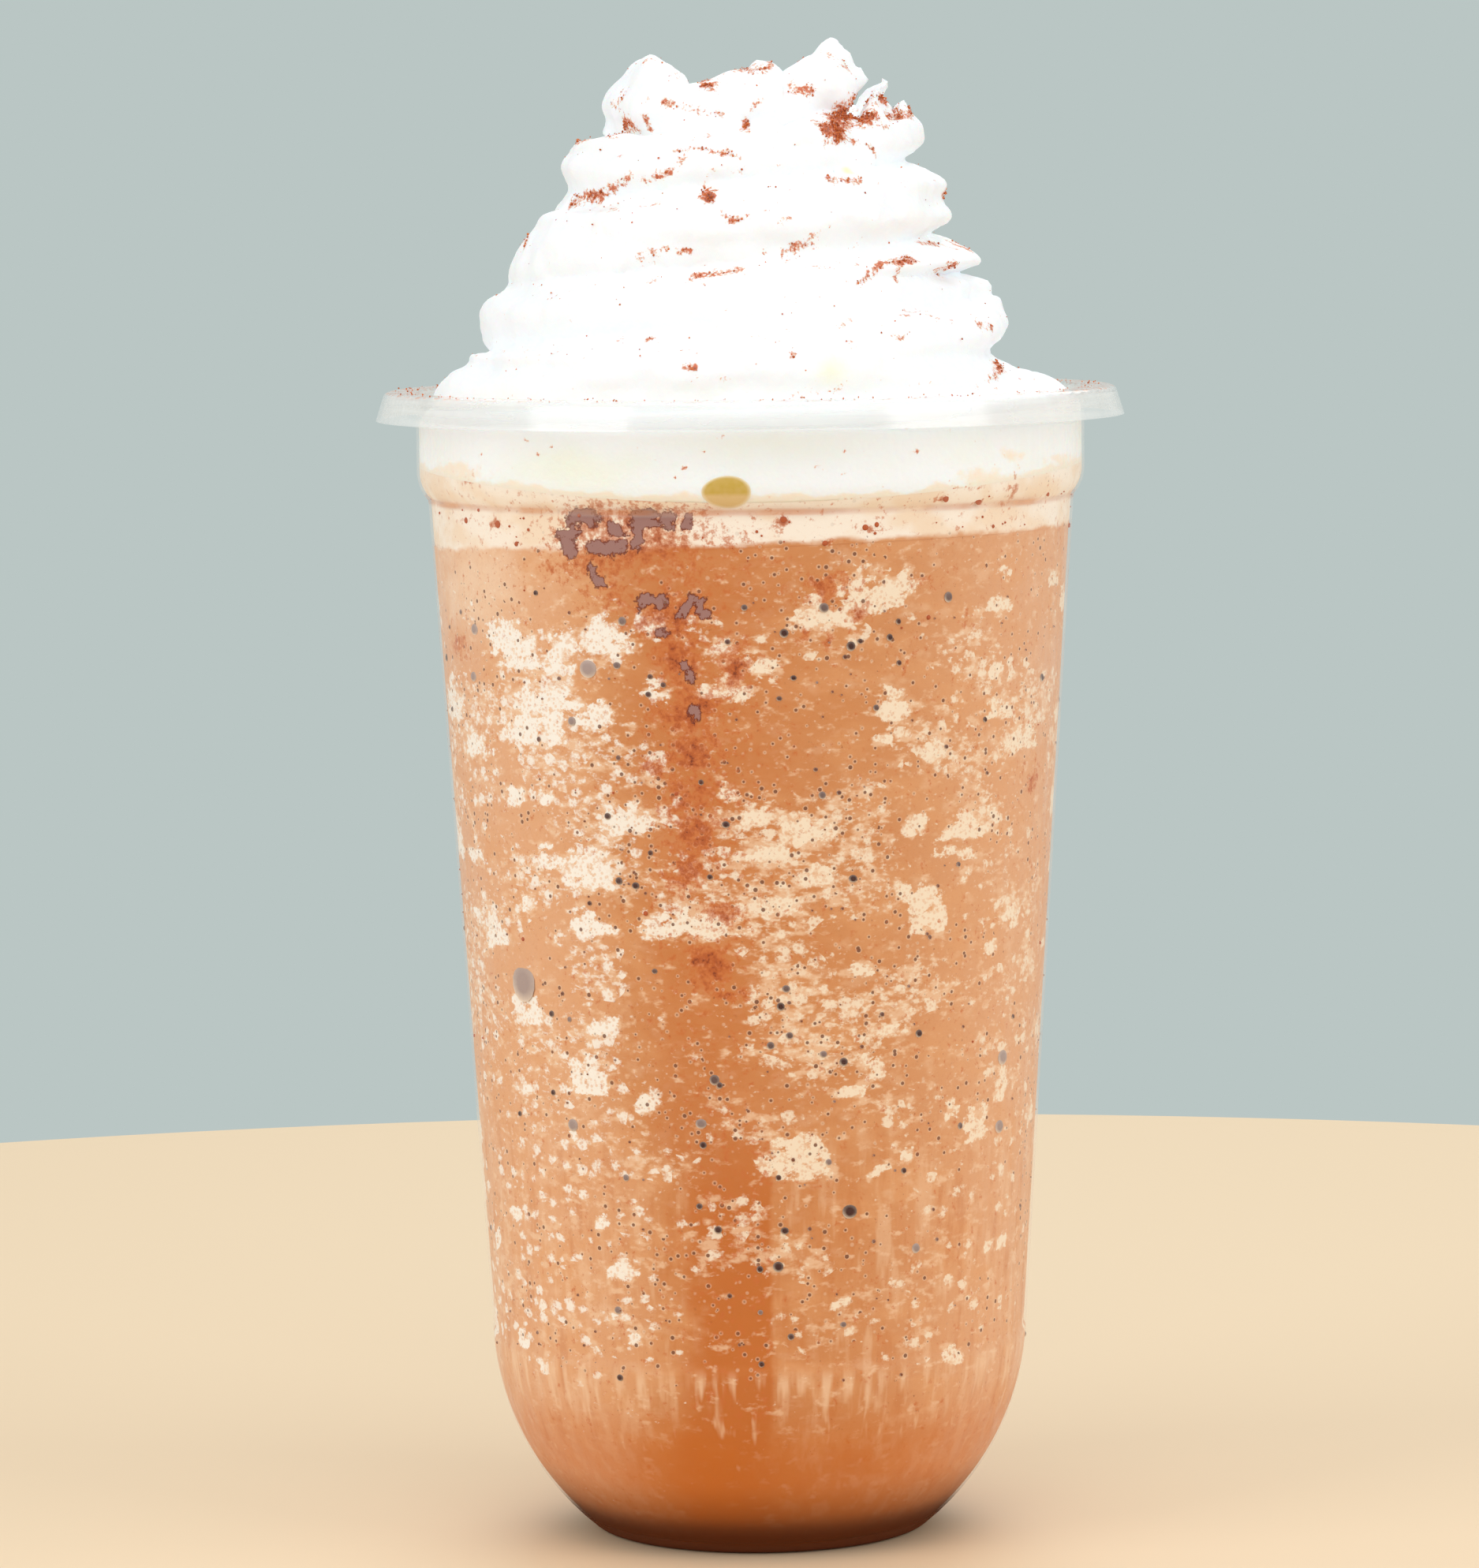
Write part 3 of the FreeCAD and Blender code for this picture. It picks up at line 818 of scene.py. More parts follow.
def makeFoam(material):
    # from the drink's level to the foam's top; rows are moved to the tilted level and wavy top
    rows = foam["rows"]
    bottom = [(r, 0.0) for r in ringRadii]
    side = [(creaseRadius, i / rows) for i in range(rows + 1)]
    profile = bottom + side + [(r, 1.0) for r in reversed(ringRadii)]
    mesh = spunMesh([(r, h * laidHeight) for r, h in profile], drink["columns"])
    for vert in mesh.verts:
        x, y, z = vert.co / mm
        radius = math.hypot(x, y)
        angle = math.atan2(y, x)
        share = z / laidHeight
        lower = drinkLevel(x, y) - 0.02
        middle = creaseHeight + foam["overCrease"]
        upper = middle + (foamEdge(angle) - middle) * (radius / creaseRadius) ** 2
        height = lower + (upper - lower) * share
        atWall = radius > creaseRadius - 0.5
        vert.co = placedAt(x, y, height, roomRadius(height, intoWall) if atWall else None)
    piece = finishPiece("milkFoam", mesh, material, "foam_layer")
    markWall(piece.data)
    return piece


mocha = mochaBlend()
makeDrink(mocha)
makeFoam(mocha)


# bubbles at the wall
bubbles = {
    # painted shade for the bubbles' dark insides and painted light for the pale crescent on their rims; the
    # speck colour is cocoa
    "body": (70, 34, 26),
    "small": (128, 68, 36),
    "speck": (184, 88, 42),
    "bodyGrey": (172, 150, 142),
    "rim": (246, 226, 204),
    "thickness": 0.16,
    "segments": 14,
    "rings": 6,
    "seed": 3,
    "scattered": 480,
    "specks": 90,               # bits of cocoa at the wall, most of them in the foam
    # arc, height, radius, greyness 0 to 1
    "named": (
        (-20.5, 113, 1.2, 1.0), (-16.6, 113.5, 0.5, 0.4), (-12.4, 112.2, 0.36, 0.1),
        (-10.8, 111.2, 0.36, 0.1), (-12.7, 110, 0.4, 0.1), (-23.2, 106.4, 0.6, 0.8),
        (-16.9, 102.1, 0.32, 0.2), (3.6, 117.5, 0.55, 0.0), (11.6, 115.7, 0.58, 0.0),
        (10.9, 114.4, 0.32, 0.0), (16.5, 116.6, 0.42, 0.0), (17.6, 118.5, 0.36, 0.0),
        (17.8, 113.4, 0.36, 0.0), (4.7, 112, 0.4, 0.0), (3, 109.5, 0.36, 0.1), (14.9, 108, 0.4, 0.2),
        (24.5, 121.2, 0.62, 0.3), (8.3, 120.5, 0.6, 0.3), (-1, 120.7, 0.4, 0.2), (-3, 116.5, 0.36, 0.1),
        (12.2, 87, 0.56, 0.0), (-17.5, 86.8, 0.5, 0.1), (-5.6, 62.3, 0.62, 0.2), (-7.5, 56.8, 0.7, 0.6),
        (-7.3, 54.1, 0.46, 0.0), (3, 71.4, 0.5, 0.0), (22, 67.1, 0.5, 0.0), (12.3, 45.4, 0.96, 0.0),
        (3.4, 43.3, 0.52, 0.0), (2.5, 38.8, 0.66, 0.0), (22.5, 40, 0.6, 0.8), (-34.4, 73, 2.3, 1.0),
        (-20.5, 32.7, 0.52, 0.6), (4.2, 29.9, 0.42, 0.1), (0.1, 26.5, 0.38, 0.0), (-8, 46.4, 0.42, 0.1),
        (-18.3, 49.6, 0.42, 0.6), (3.7, 73.6, 0.5, 0.3), (38.5, 62.5, 1.1, 1.0), (38.5, 53.7, 1.0, 0.9),
        (-26.5, 55.7, 0.8, 0.9), (2.6, 50, 0.36, 0.0), (-41.5, 111, 0.75, 0.9), (-40.3, 117, 0.85, 0.9),
        (3.6, 131.4, 0.42, -1), (8.4, 128.4, 0.36, -1), (23.2, 133.4, 0.45, -1), (28.4, 132.8, 0.5, -1),
        (-33.6, 130.4, 0.5, -1), (-40.5, 130.6, 0.4, -1), (13.2, 130.2, 0.4, -1), (14.6, 130.5, 0.3, -1),
    ),
}


def bubbleSkin():
    material = newMaterial("bubbleSkin")
    rough = stepped(grain(objectPoint(), 0.3, 2), 0.3, 0.7, 0.35, 0.6)
    close(principled(painted("bubbleShadingAndSpecks"), rough, Specular_IOR_Level=0.25))
    return material


def makeBubbles(material):
    # flattened beads in the wall's inner face: painted shade dark inside, a pale crescent of painted light
    # low on the rim
    dice = random.Random(bubbles["seed"])
    beads = list(bubbles["named"])
    while len(beads) < bubbles["scattered"]:
        size = 0.13 + 0.42 * dice.random() ** 3
        place = dice.uniform(-halfRound, halfRound)
        if abs(place) < 32 or abs(place) > 60 or dice.random() < 0.3:
            beads.append((place, 23 + 101 * dice.random(), size, 0.6 * dice.random() ** 3))
    for _ in range(bubbles["specks"]):
        height = dice.choice((dice.uniform(128, 133.6), dice.uniform(128, 133.6), dice.uniform(60, 128)))
        beads.append((dice.uniform(-halfRound, halfRound), height, 0.09 + 0.22 * dice.random() ** 3, -1))
    template, ball = templateOf("bead", bmesh.ops.create_uvsphere, u_segments=bubbles["segments"],
                                v_segments=bubbles["rings"], radius=1.0)
    layer = template.attributes.new("bubbleShadingAndSpecks", "FLOAT_COLOR", "POINT")
    paints = [np.array(tone(*bubbles[key])) for key in ("body", "bodyGrey", "rim", "speck", "small")]
    body, grey, rim, speck, little = paints
    # the bead's poles lie along the wall's normal, so its rings are concentric
    across, up, depth = ball.T
    edge = np.hypot(across, up)
    # painted light: a pale crescent low on each bead's rim
    low = np.clip(-up * 0.9 - across * 0.35, 0, 1)
    pale = np.clip((edge - 0.70) / 0.25, 0, 1) * (0.2 + 0.8 * low)
    mesh = bmesh.new()
    for arc, height, size, greyness in beads:
        bearing = arc / wallArc
        reach = roomRadius(height, intoWall - 0.02) + depth * bubbles["thickness"]
        along = across * size
        spot = np.stack((reach * math.sin(bearing) + along * math.cos(bearing),
                         -reach * math.cos(bearing) + along * math.sin(bearing),
                         height + up * size * dice.uniform(0.85, 1.1)), axis=1)
        dark = body + (little - body) * float(ease(size, 0.42, 0.2))
        inside = speck if greyness < 0 else dark + (grey - dark) * greyness
        shown = inside + np.outer(pale * (greyness >= 0), rim - inside)
        layer.data.foreach_set("color", shown.ravel())
        appendCopy(mesh, template, spot)
    bpy.data.meshes.remove(template)
    return finishPiece("drinkBubbles", mesh, material, None)


makeBubbles(bubbleSkin())


# whipped cream
cream = {
    "strandRadius": 6.2,
    "strandThinning": 0.14,
    "strandSwell": 0.12,
    "swellTurns": 2.0,
    "starAngle": 60.0,
    "grooveDepth": 0.65,
    "grooveTwist": 150.0,
    "coilLead": 8.8,
    "coilTilt": 0.9,
    "coilOverRim": 2.7,
    "turnsAboveCup": 4.0,
    "turnsInCup": 0.86,
    "strandPress": 0.9,
    "settled": 3.1,             # the lower turns have sunk, the last one climbs back
    "moundGap": 1.3,
    "moundSlope": 0.49,
    "footFlare": 0.35,
    "footFlareHeight": 7.0,
    "waver": 0.8,
    "waverTurns": 2.6,
    "waverStart": 1.6,
    "sway": 1.8,
    "swayHeight": 34.0,
    "tailTurns": 0.62,
    "tailSag": 1.8,
    "tailRadius": 8.5,
    "peakTurns": 0.24,
    "peakLift": 6.6,
    "peakTipRadius": 0.8,
    "craterHeight": 180.5,
    "ringsPerTurn": 96,
    "sectionPoints": 72,
    "coreColumns": 96,
    "voxel": 0.53,
    "voxelQuick": 0.8,
    "colour": (250, 253, 255),
    "shadeTint": (249, 251, 247),
    "hollow": (243, 246, 228),
    "hint": (254, 252, 190),
    "tan": (252, 234, 212),
    "seed": 5,
    # side, height, reach, share by which the mound swells or narrows there
    "trims": (
        (1, 150.4, 2.0, -0.12), (1, 156, 3, -0.04), (1, 160.3, 0.9, -0.13), (1, 165.2, 1.2, -0.09),
        (1, 174.2, 1.4, -0.09), (1, 169.5, 1.5, -0.04), (1, 184.6, 1.0, 0.28), (1, 176.5, 1.2, 0.05),
        (-1, 149.6, 1.4, -0.07), (-1, 163, 2.5, -0.03), (-1, 166.8, 1.5, -0.05), (-1, 171.6, 2.4, -0.08),
        (-1, 177.9, 1.4, 0.16),
    ),
    # place across, rise of the crown there
    "crown": (
        (-15.5, 0.0), (-12, 0.6), (-9, -1.5), (-1.5, -1.9), (0, -2.2), (1.2, -1.2), (3, -1.3),
        (4.5, -2.6), (7, -1.2), (9.5, -0.3), (14, -1.6), (16, 2.4), (18.4, -1.8), (20, 0.8), (22, -2.5),
    ),
    # place, reach, and how far the cream is pulled there
    "tugs": (
        ((-14.5, -2, 187), 5.5, (2.0, 0, -0.6)), ((-5.5, -8, 187), 3.6, (0, 0, -3.2)),
        ((-6, 8, 187), 4.2, (0, 0, -3.6)), ((-1, -9, 187), 2.6, (0, 0, 0.8)),
        ((2, 9, 188), 2.4, (0, 0, 1.6)), ((30, -2, 157.5), 3.2, (2.2, 0, 0.4)),
        ((27, -3, 160.6), 1.5, (-1.8, 0, 0)), ((26, -3, 162.3), 2.2, (2.0, 0, 0.2)),
        ((26.5, -3, 165.2), 2.2, (-4.2, 0, 0)), ((14, -18, 179), 3.2, (-1.2, 1.8, -0.6)),
        ((-32, 0, 154.5), 3.0, (-0.6, 0, 0)), ((-31, 0, 165), 4.5, (2.2, 0, 0)),
        ((-26.5, 0, 172), 4.0, (1.6, 0, 0)), ((-39, 0, 149.5), 4.5, (0.8, 0, 0)),
        ((36, 0, 151), 4.5, (-1.8, 0, 0)), ((25, 0, 174), 3.2, (-0.9, 0, 0)),
        ((15, -3, 185.6), 2.6, (2.6, 0, 0)), ((38, -12, 147), 4.0, (1.2, -0.6, 0.8)),
    ),
}
cocoa = {
    "light": (240, 178, 136),
    "rust": (214, 104, 48),
    "dark": (148, 68, 34),
    "grain": (168, 78, 38),
    "grainPale": (222, 128, 76),
    "grains": 3200,
    "loose": 420,
    "onRim": 260,
    "strewnBehind": 46,
    "seed": 21,
    # bearing and height along each streak, width, strength
    "streaks": (
        (((-64, 170), (-56, 170.3), (-50, 170.4)), 0.9, 0.9),
        (((-50, 170.6), (-45, 171.5), (-40, 172.2), (-36, 173.0)), 0.6, 0.9),
        (((-36, 173.0), (-29, 172.6), (-22, 173.8), (-19, 175.0)), 0.55, 0.8),
        (((-23, 176.1), (-18, 176.5), (-12, 176.1), (-7, 175.8), (-2, 175.4)), 0.4, 0.75),
        (((-70, 177.0), (-66, 177.8), (-60, 178.6)), 0.6, 0.8), (((-57, 179.4), (-52, 178.8)), 1.0, 1.0),
        (((-45, 180.4), (-45, 178.8)), 0.5, 0.8),
        (((-37, 182.3), (-30, 181.5), (-22, 181.1), (-11, 180.5)), 0.5, 0.8),
        (((-50, 181.6), (-43, 182.5)), 0.3, 0.6), (((-66, 183.4), (-62, 182.8)), 0.6, 0.8),
        (((-70, 182.0), (-60, 180.8)), 0.5, 0.7), (((-60, 187.2), (-50, 188.2), (-38, 187.9)), 0.5, 0.6),
        (((-22, 184.6), (-15, 184.3)), 0.7, 0.8),
        (((-15, 186.2), (-8, 186.6), (0, 186.0), (8, 186.2)), 0.6, 0.85),
        (((0, 188.0), (5, 187.4)), 0.8, 0.8), (((12, 186.4), (18, 188.0), (24, 189.2)), 0.5, 0.8),
        (((26, 190.5), (33, 191.0), (38, 190.0), (42, 189.0)), 0.9, 1.0),
        (((46, 187.3), (53, 186.3)), 0.7, 0.9), (((22, 183.6), (28, 183.4)), 0.7, 0.8),
        (((26.5, 185.0), (26.8, 181.8)), 0.3, 0.7),
        (((44, 181.2), (52, 182.3), (62, 182.3), (74, 182.0)), 0.8, 0.95),
        (((60, 180.1), (78, 180.5)), 0.6, 0.9),
        (((27, 178.3), (33, 178.8), (40, 179.8), (48, 180.5)), 1.1, 1.3),
        (((30, 177.6), (36, 178.6)), 0.9, 1.3), (((42, 179.2), (52, 178.8)), 0.7, 0.75),
        (((26, 177.1), (36, 177.1), (44, 176.6), (47, 175.4)), 0.4, 0.75),
        (((-1, 179.8), (-1, 178.5)), 0.5, 0.9), (((1, 180.8), (3, 181.9), (7, 182.2)), 0.3, 0.55),
        (((-12, 170.9), (-10.5, 170.3)), 0.8, 0.95), (((-12, 173.0), (-10, 173.8)), 0.4, 0.8),
        (((-4.5, 173.7), (-2, 173.6)), 0.4, 0.75), (((24, 172.3), (30, 172.1), (34, 172.4)), 0.45, 0.85),
        (((-6.5, 168.3), (-4, 167.5), (0, 167.8)), 0.45, 0.8), (((7, 167.4), (10, 167.6)), 0.35, 0.65),
        (((-27, 163.2), (-20, 164.1), (-14, 163.9)), 0.45, 0.85),
        (((-26, 162.8), (-23, 162.5)), 0.6, 0.45), (((12, 163.9), (15.5, 164.5)), 1.0, 1.0),
        (((3.5, 163.5), (6, 163.0), (10, 163.7)), 0.4, 0.75),
        (((-14, 160.6), (-9, 161.1), (-2, 161.5)), 0.4, 0.75), (((-24, 160.1), (-22, 160.3)), 0.4, 0.8),
        (((-11.5, 159.9), (-10.5, 159.8)), 0.4, 0.8),
        (((27, 159.6), (31, 161.0), (36, 162.1), (47, 162.3)), 0.5, 0.9),
        (((39, 161.0), (38.5, 160.2)), 0.5, 0.7), (((60, 161.4), (64, 161.0)), 0.9, 0.9),
        (((56, 164.3), (70, 164.0), (78, 163.6)), 0.35, 0.7), (((57.5, 154.5), (61, 153.9)), 0.8, 0.85),
        (((30, 153.2), (32, 153.0)), 0.4, 0.8), (((7.8, 151.8), (7.8, 151.0)), 0.35, 0.7),
        (((-20.5, 153.3), (-19.5, 153.3)), 0.35, 0.8), (((-12, 149.9), (-10, 150.0)), 0.4, 0.8),
        (((-5, 148.6), (-3.5, 147.8)), 0.5, 0.6), (((8, 146.4), (12, 146.4)), 0.6, 1.0),
        (((14, 146.3), (17, 147.3)), 0.4, 0.7), (((31, 146.8), (37, 147.8)), 0.4, 0.7),
        (((53, 147.4), (60, 148.2), (66, 149.2)), 0.6, 0.9), (((48, 146.5), (58, 146.8)), 0.5, 0.8),
        (((-76, 165.3), (-71, 164.7)), 0.7, 0.9), (((-64, 151.6), (-62, 151.4)), 0.4, 0.6),
    ),
}
lastTurn = cream["turnsAboveCup"] + cream["tailTurns"]


def moundRadius(z):
    up = z - cup["height"]
    mouth = neckRadius - cup["wall"]
    if up < 0:
        pressed = (cream["moundGap"] + cream["strandPress"]) * min(1, -up / cream["strandRadius"])
        return mouth - cream["moundGap"] + pressed
    flare = cream["footFlare"] * min(up, cream["footFlareHeight"])
    return mouth - cream["moundGap"] - cream["moundSlope"] * up - flare


def turnAngle(turn):
    return math.pi + 2 * math.pi * turn


def strandCircle(turn):
    # the strand's middle, from the axis and the table, and its radius
    climbed = cup["height"] + cream["coilOverRim"] + cream["coilLead"] * min(turn, cream["turnsAboveCup"])
    climbed -= cream["settled"] * float(1 - ease(turn, 3.5, 4.05))
    tail = max(0, turn - cream["turnsAboveCup"]) / cream["tailTurns"]
    size = cream["strandRadius"] - cream["strandThinning"] * turn
    size *= 1 + cream["strandSwell"] * math.sin(2 * math.pi * turn / cream["swellTurns"])
    radius = moundRadius(climbed) - size
    if turn > 0:
        wave = math.sin(2 * math.pi * (turn - cream["waverStart"]) / cream["waverTurns"])
        radius += cream["waver"] * wave * min(1, 2 * turn)
    radius += (cream["tailRadius"] - radius) * tail
    z = climbed + cream["coilTilt"] * math.cos(turnAngle(turn)) - cream["tailSag"] * math.sin(math.pi * tail)
    ending = max(0, 1 + (turn - lastTurn) / cream["peakTurns"])
    z += cream["peakLift"] * (1 - abs(2 * ending - 1))
    size += (cream["peakTipRadius"] - size) * min(1, 2 * ending)
    return radius, z, size


def onMound(r, z, angle):
    # held in by the cup below the rim, swayed above it
    if z < cup["height"]:
        r = min(r, roomRadius(z, intoWall))
        bend = 0
    else:
        bend = -cream["sway"] * math.sin(math.pi * (z - cup["height"]) / cream["swayHeight"])
    return Vector((r * math.cos(angle) + bend, r * math.sin(angle), z)) * mm


def strandPoint(turn, around):
    # point on the strand's star-shaped section, around in radians from outwards
    r, z, size = strandCircle(turn)
    ridge = (around + math.radians(cream["grooveTwist"]) * turn) * math.pi / math.radians(cream["starAngle"])
    groove = 1 - abs(math.cos(ridge))
    full = size - cream["grooveDepth"] * min(1, size / cream["strandRadius"]) * groove
    return onMound(r + full * math.cos(around), z + full * math.sin(around), turnAngle(turn))


def addStrand(mesh):
    # a ring of edges, extruded step by step along the coil
    points = cream["sectionPoints"]
    turns = [-cream["turnsInCup"] + i / cream["ringsPerTurn"]
             for i in range(round((lastTurn + cream["turnsInCup"]) * cream["ringsPerTurn"]) + 1)]
    ring = bmesh.ops.create_circle(mesh, segments=points, radius=cream["strandRadius"] * mm)["verts"]
    edges = list({edge for vert in ring for edge in vert.link_edges})
    bmesh.ops.contextual_create(mesh, geom=edges)
    for i, vert in enumerate(ring):
        vert.co = strandPoint(turns[0], 2 * math.pi * i / points)
    for turn in turns[1:]:
        made = bmesh.ops.extrude_edge_only(mesh, edges=edges)["geom"]
        fresh = {item for item in made if isinstance(item, bmesh.types.BMVert)}
        edges = [item for item in made if isinstance(item, bmesh.types.BMEdge)]
        following = {}
        for vert in fresh:
            for edge in vert.link_edges:
                other = edge.other_vert(vert)
                if other not in fresh:
                    following[other] = vert
        ring = [following[vert] for vert in ring]
        for i, vert in enumerate(ring):
            vert.co = strandPoint(turn, 2 * math.pi * i / points)
    bmesh.ops.contextual_create(mesh, geom=edges)


def addCore(mesh):
    # fills the mound behind the strand, from the foam up to the hollow in its top
    low = creaseHeight + foam["overCrease"] - foam["wave"] + 0.2
    profile = [(0, low), (36, low), (36, 143)]
    for z in (148, 154, 160, 166, 172, 178):
        profile.append((moundRadius(z) - cream["strandRadius"] * 1.1, z))
    profile.append((0, cream["craterHeight"]))
    addSpun(mesh, profile, cream["coreColumns"])


def remeshed(name, mesh, voxel):
    closeUp(mesh)
    rough = linked(name, meshOf(name, mesh))
    remesh = rough.modifiers.new("remesh", "REMESH")
    remesh.mode = "VOXEL"
    remesh.voxel_size = voxel * mm
    soften = rough.modifiers.new("soften", "SMOOTH")
    soften.iterations = 5
    soften.factor = 0.5
    depsgraph = bpy.context.evaluated_depsgraph_get()
    result = bpy.data.meshes.new_from_object(rough.evaluated_get(depsgraph))
    bpy.data.objects.remove(rough)
    result.name = name
    return result


def streakField(points, streaks):
    # powder lying along lines of bearing and height
    bearing = bearings(points)
    radius = np.hypot(points[:, 0], points[:, 1])
    field = np.zeros(len(points))
    for line, width, strength in streaks:
        for start, end in zip(line, line[1:]):
            middle = (start[0] + end[0]) / 2
            turned = (bearing - middle + 180) % 360 - 180
            rate = math.pi / 180 * np.maximum(radius, 4)
            length = (end[0] - start[0]) * rate
            rise = end[1] - start[1]
            along = turned * rate + length / 2
            up = points[:, 2] - start[1]
            share = np.clip((along * length + up * rise) / np.maximum(length ** 2 + rise ** 2, 1e-6), 0, 1)
            far = np.hypot(along - share * length, up - share * rise)
            field = np.maximum(field, strength * np.clip(1.4 - far / width * 0.75, 0, 1))
    return field


def coilSpot(turn, around):
    # bearing and height of a place on the coil
    _, z, size = strandCircle(turn)
    bearing = (math.degrees(turnAngle(turn)) + 90 + 180) % 360 - 180
    return bearing, z + size * math.sin(math.radians(around))


def strewnStreaks():
    # more powder along the coils, away from the front
    dice = random.Random(cocoa["seed"])
    streaks = []
    while len(streaks) < cocoa["strewnBehind"]:
        turn = dice.uniform(0.1, lastTurn)
        around = dice.choice((20, 45, 60, 75))
        run = dice.uniform(0.005, 0.05)
        line = [coilSpot(turn + run * i / 3, around + dice.uniform(-6, 6)) for i in range(4)]
        if min(abs(bearing) for bearing, _ in line) > 78 and abs(line[0][0] - line[3][0]) < 90:
            streaks.append((tuple(line), dice.uniform(0.3, 0.9), dice.uniform(0.6, 1.0)))
    return streaks


def powdered(point, colour, amount):
    # cocoa on the cream: pale dust at its edge, rust and then dark where it lies thick
    fine = speckle(point, 0.42, 4, 0.65)
    patch = speckle(point, 1.5, 3, 0.6)
    powder = times(fine, 2.2, amount)
    powder = times(patch, 1.8, powder)
    colour = coated(colour, powder, (0.50, 0.80, 0.8, cocoa["light"]),
                    (0.74, 0.98, 1.0, cocoa["rust"]), (1.05, 1.4, 0.9, cocoa["dark"]))
    return colour, stepped(powder, 0.6, 1.0)


def whippedCream():
    material = newMaterial("whippedCream")
    point = objectPoint()
    marks = marksOf("marks")
    colour = mixed(stepped(grain(point, 9, 2), 0.45, 0.7, 0, 0.6), cream["colour"], cream["shadeTint"])
    # painted shade where the cream stands back from the wall in the neck
    colour = mixed(marks[1], colour, cream["hollow"])
    wisps = speckle(stretched(point, 1, 1, 1.6), 2.4, 4, 0.6)
    milky = times(wisps, 1.2, marks[2])
    colour = mixed(stepped(milky, 0.25, 0.75), colour, cream["tan"])
    colour = mixed(stepped(marksOf("hints")[0], 0.1, 1.0), colour, cream["hint"])
    colour, lying = powdered(point, colour, marks[0])
    height = times(lying, 0.9, grain(point, 0.9, 3))
    normal = bumped(height, 0.22, 0.45)
    # painted light: a faint bluish glow over all the cream, brightening it
    close(principled(colour, 0.5, Normal=normal, Subsurface_Weight=0.25, Subsurface_Scale=0.002,
                     Emission_Color=(0.8, 0.92, 1.0, 1.0), Emission_Strength=0.05))
    return material


def makeSwirl(material):
    mesh = bmesh.new()
    addStrand(mesh)
    addCore(mesh)
    data = remeshed("creamSwirl", mesh, cream["voxel"])
    points = readVerts(data)
    for place, reach, pull in cream["tugs"]:
        # those straight at the sides run on around the mound
        wide = np.array([1, 2.4 if place[1] == 0 else 1, 1]) * reach
        far = np.sum(((points - np.array(place)) / wide) ** 2, axis=1)
        points = points + np.exp(-far)[:, None] * np.array(pull)
    high = ease(points[:, 2], 178, 182.5)
    across, rise = zip(*cream["crown"])
    points[:, 2] += high * np.interp(points[:, 0], across, rise)
    for side, height, reach, share in cream["trims"]:
        near = np.exp(-((points[:, 2] - height) / reach) ** 2) * ease(points[:, 0] * side, 8, 26)
        points[:, 0] += share * points[:, 0] * near
    writeVerts(data, points)
    above = ease(points[:, 2], cup["height"] - 1, cup["height"] + 3)
    tame = 1 - 0.6 * ease(points[:, 2], 188, 190.5)
    lumps = 0.55 * grainField(points, 9, 0.0, 2) + 0.30 * grainField(points, 3.4, 50.0, 2)
    torn = np.clip(grainField(points, 7, 90.0, 1), 0, 1) * grainField(points, 1.5, 120.0, 2)
    points = points + normalsOf(data) * ((lumps + 0.55 * torn) * above * tame)[:, None]
    points[:, 2] = np.minimum(points[:, 2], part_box("whipped_cream")[1].z / mm - 0.05)
    writeVerts(data, points)
    up = normalsOf(data)[:, 2]
    dusted = ease(up, 0.45, 0.9) * np.clip(grainField(points, 5.0, 31.0, 2) * 0.7, 0, 0.42)
    broken = 0.85 + 0.5 * grainField(points, 2.0, 70.0, 2)
    amount = np.maximum(dusted, streakField(points, cocoa["streaks"] + tuple(strewnStreaks())) * broken)
    amount *= above
    bearing = bearings(points)
    hint = 0.5 * np.exp(-((bearing - 15) / 5) ** 2 - ((points[:, 2] - 149.5) / 3) ** 2)
    hint = np.maximum(hint, 0.9 * np.exp(-((bearing - 33) / 2.2) ** 2 - ((points[:, 2] - 173.4) / 0.6) ** 2))
    none = np.zeros(len(points))
    writeField(data, "marks", np.clip(amount, 0, 1.2), none, none)
    writeField(data, "hints", hint, hint, hint)
    return placePiece("creamSwirl", data, material, "whipped_cream"), amount


neckCream = {
    # orange stains: arc, height, width, height, strength
    "stains": ((33.3, 135.0, 1.6, 5.0, 0.75), (28.2, 133.6, 3.0, 1.6, 0.7), (24.5, 134.6, 2.4, 1.4, 0.6),
               (-37.5, 136.2, 3.4, 2.6, 0.5), (-44, 134.4, 3, 1.2, 0.5), (40, 134.2, 4, 1.0, 0.5),
               (11, 133.4, 5, 0.9, 0.5), (-26, 134.4, 4, 1.0, 0.55), (31, 138.6, 1.4, 1.6, 0.5)),
    "columns": 600,
    "rows": 40,
    "topUnderRim": 1.6,
    "roundIn": 2.2,
    # see-through hollows, painted as shade on the cream: arc, height, width, height, strength
    "hollows": (
        (-21, 137.6, 18, 5.4, 0.9), (-30, 135.6, 8, 2.4, 0.6), (1, 140.6, 22, 4.2, 0.5),
        (-44, 138.6, 14, 4.2, 0.35), (25, 139.4, 12, 4, 0.3), (36, 137.6, 10, 3, 0.3),
    ),
    "hollowsBehind": 9,
    # where foam has run up the wall
    "runs": (
        (-40, 136.8, 14, 3.4, 0.8), (27.5, 135.6, 7, 3.6, 0.8), (-16, 134.2, 16, 2.2, 0.7),
        (33, 138, 5, 5, 0.5), (8, 133.8, 16, 1.6, 0.6), (46, 136.8, 14, 2.6, 0.7),
    ),
    # single specks of cocoa: arc and height
    "specks": ((-3, 141.6), (-5.2, 139.7), (10.3, 139.6), (10.2, 136.9), (-7.4, 137.8), (-8.4, 136.7),
               (-25.3, 139.3), (-27.2, 141), (-34.8, 139), (19, 139.3), (-23.6, 140.2)),
}


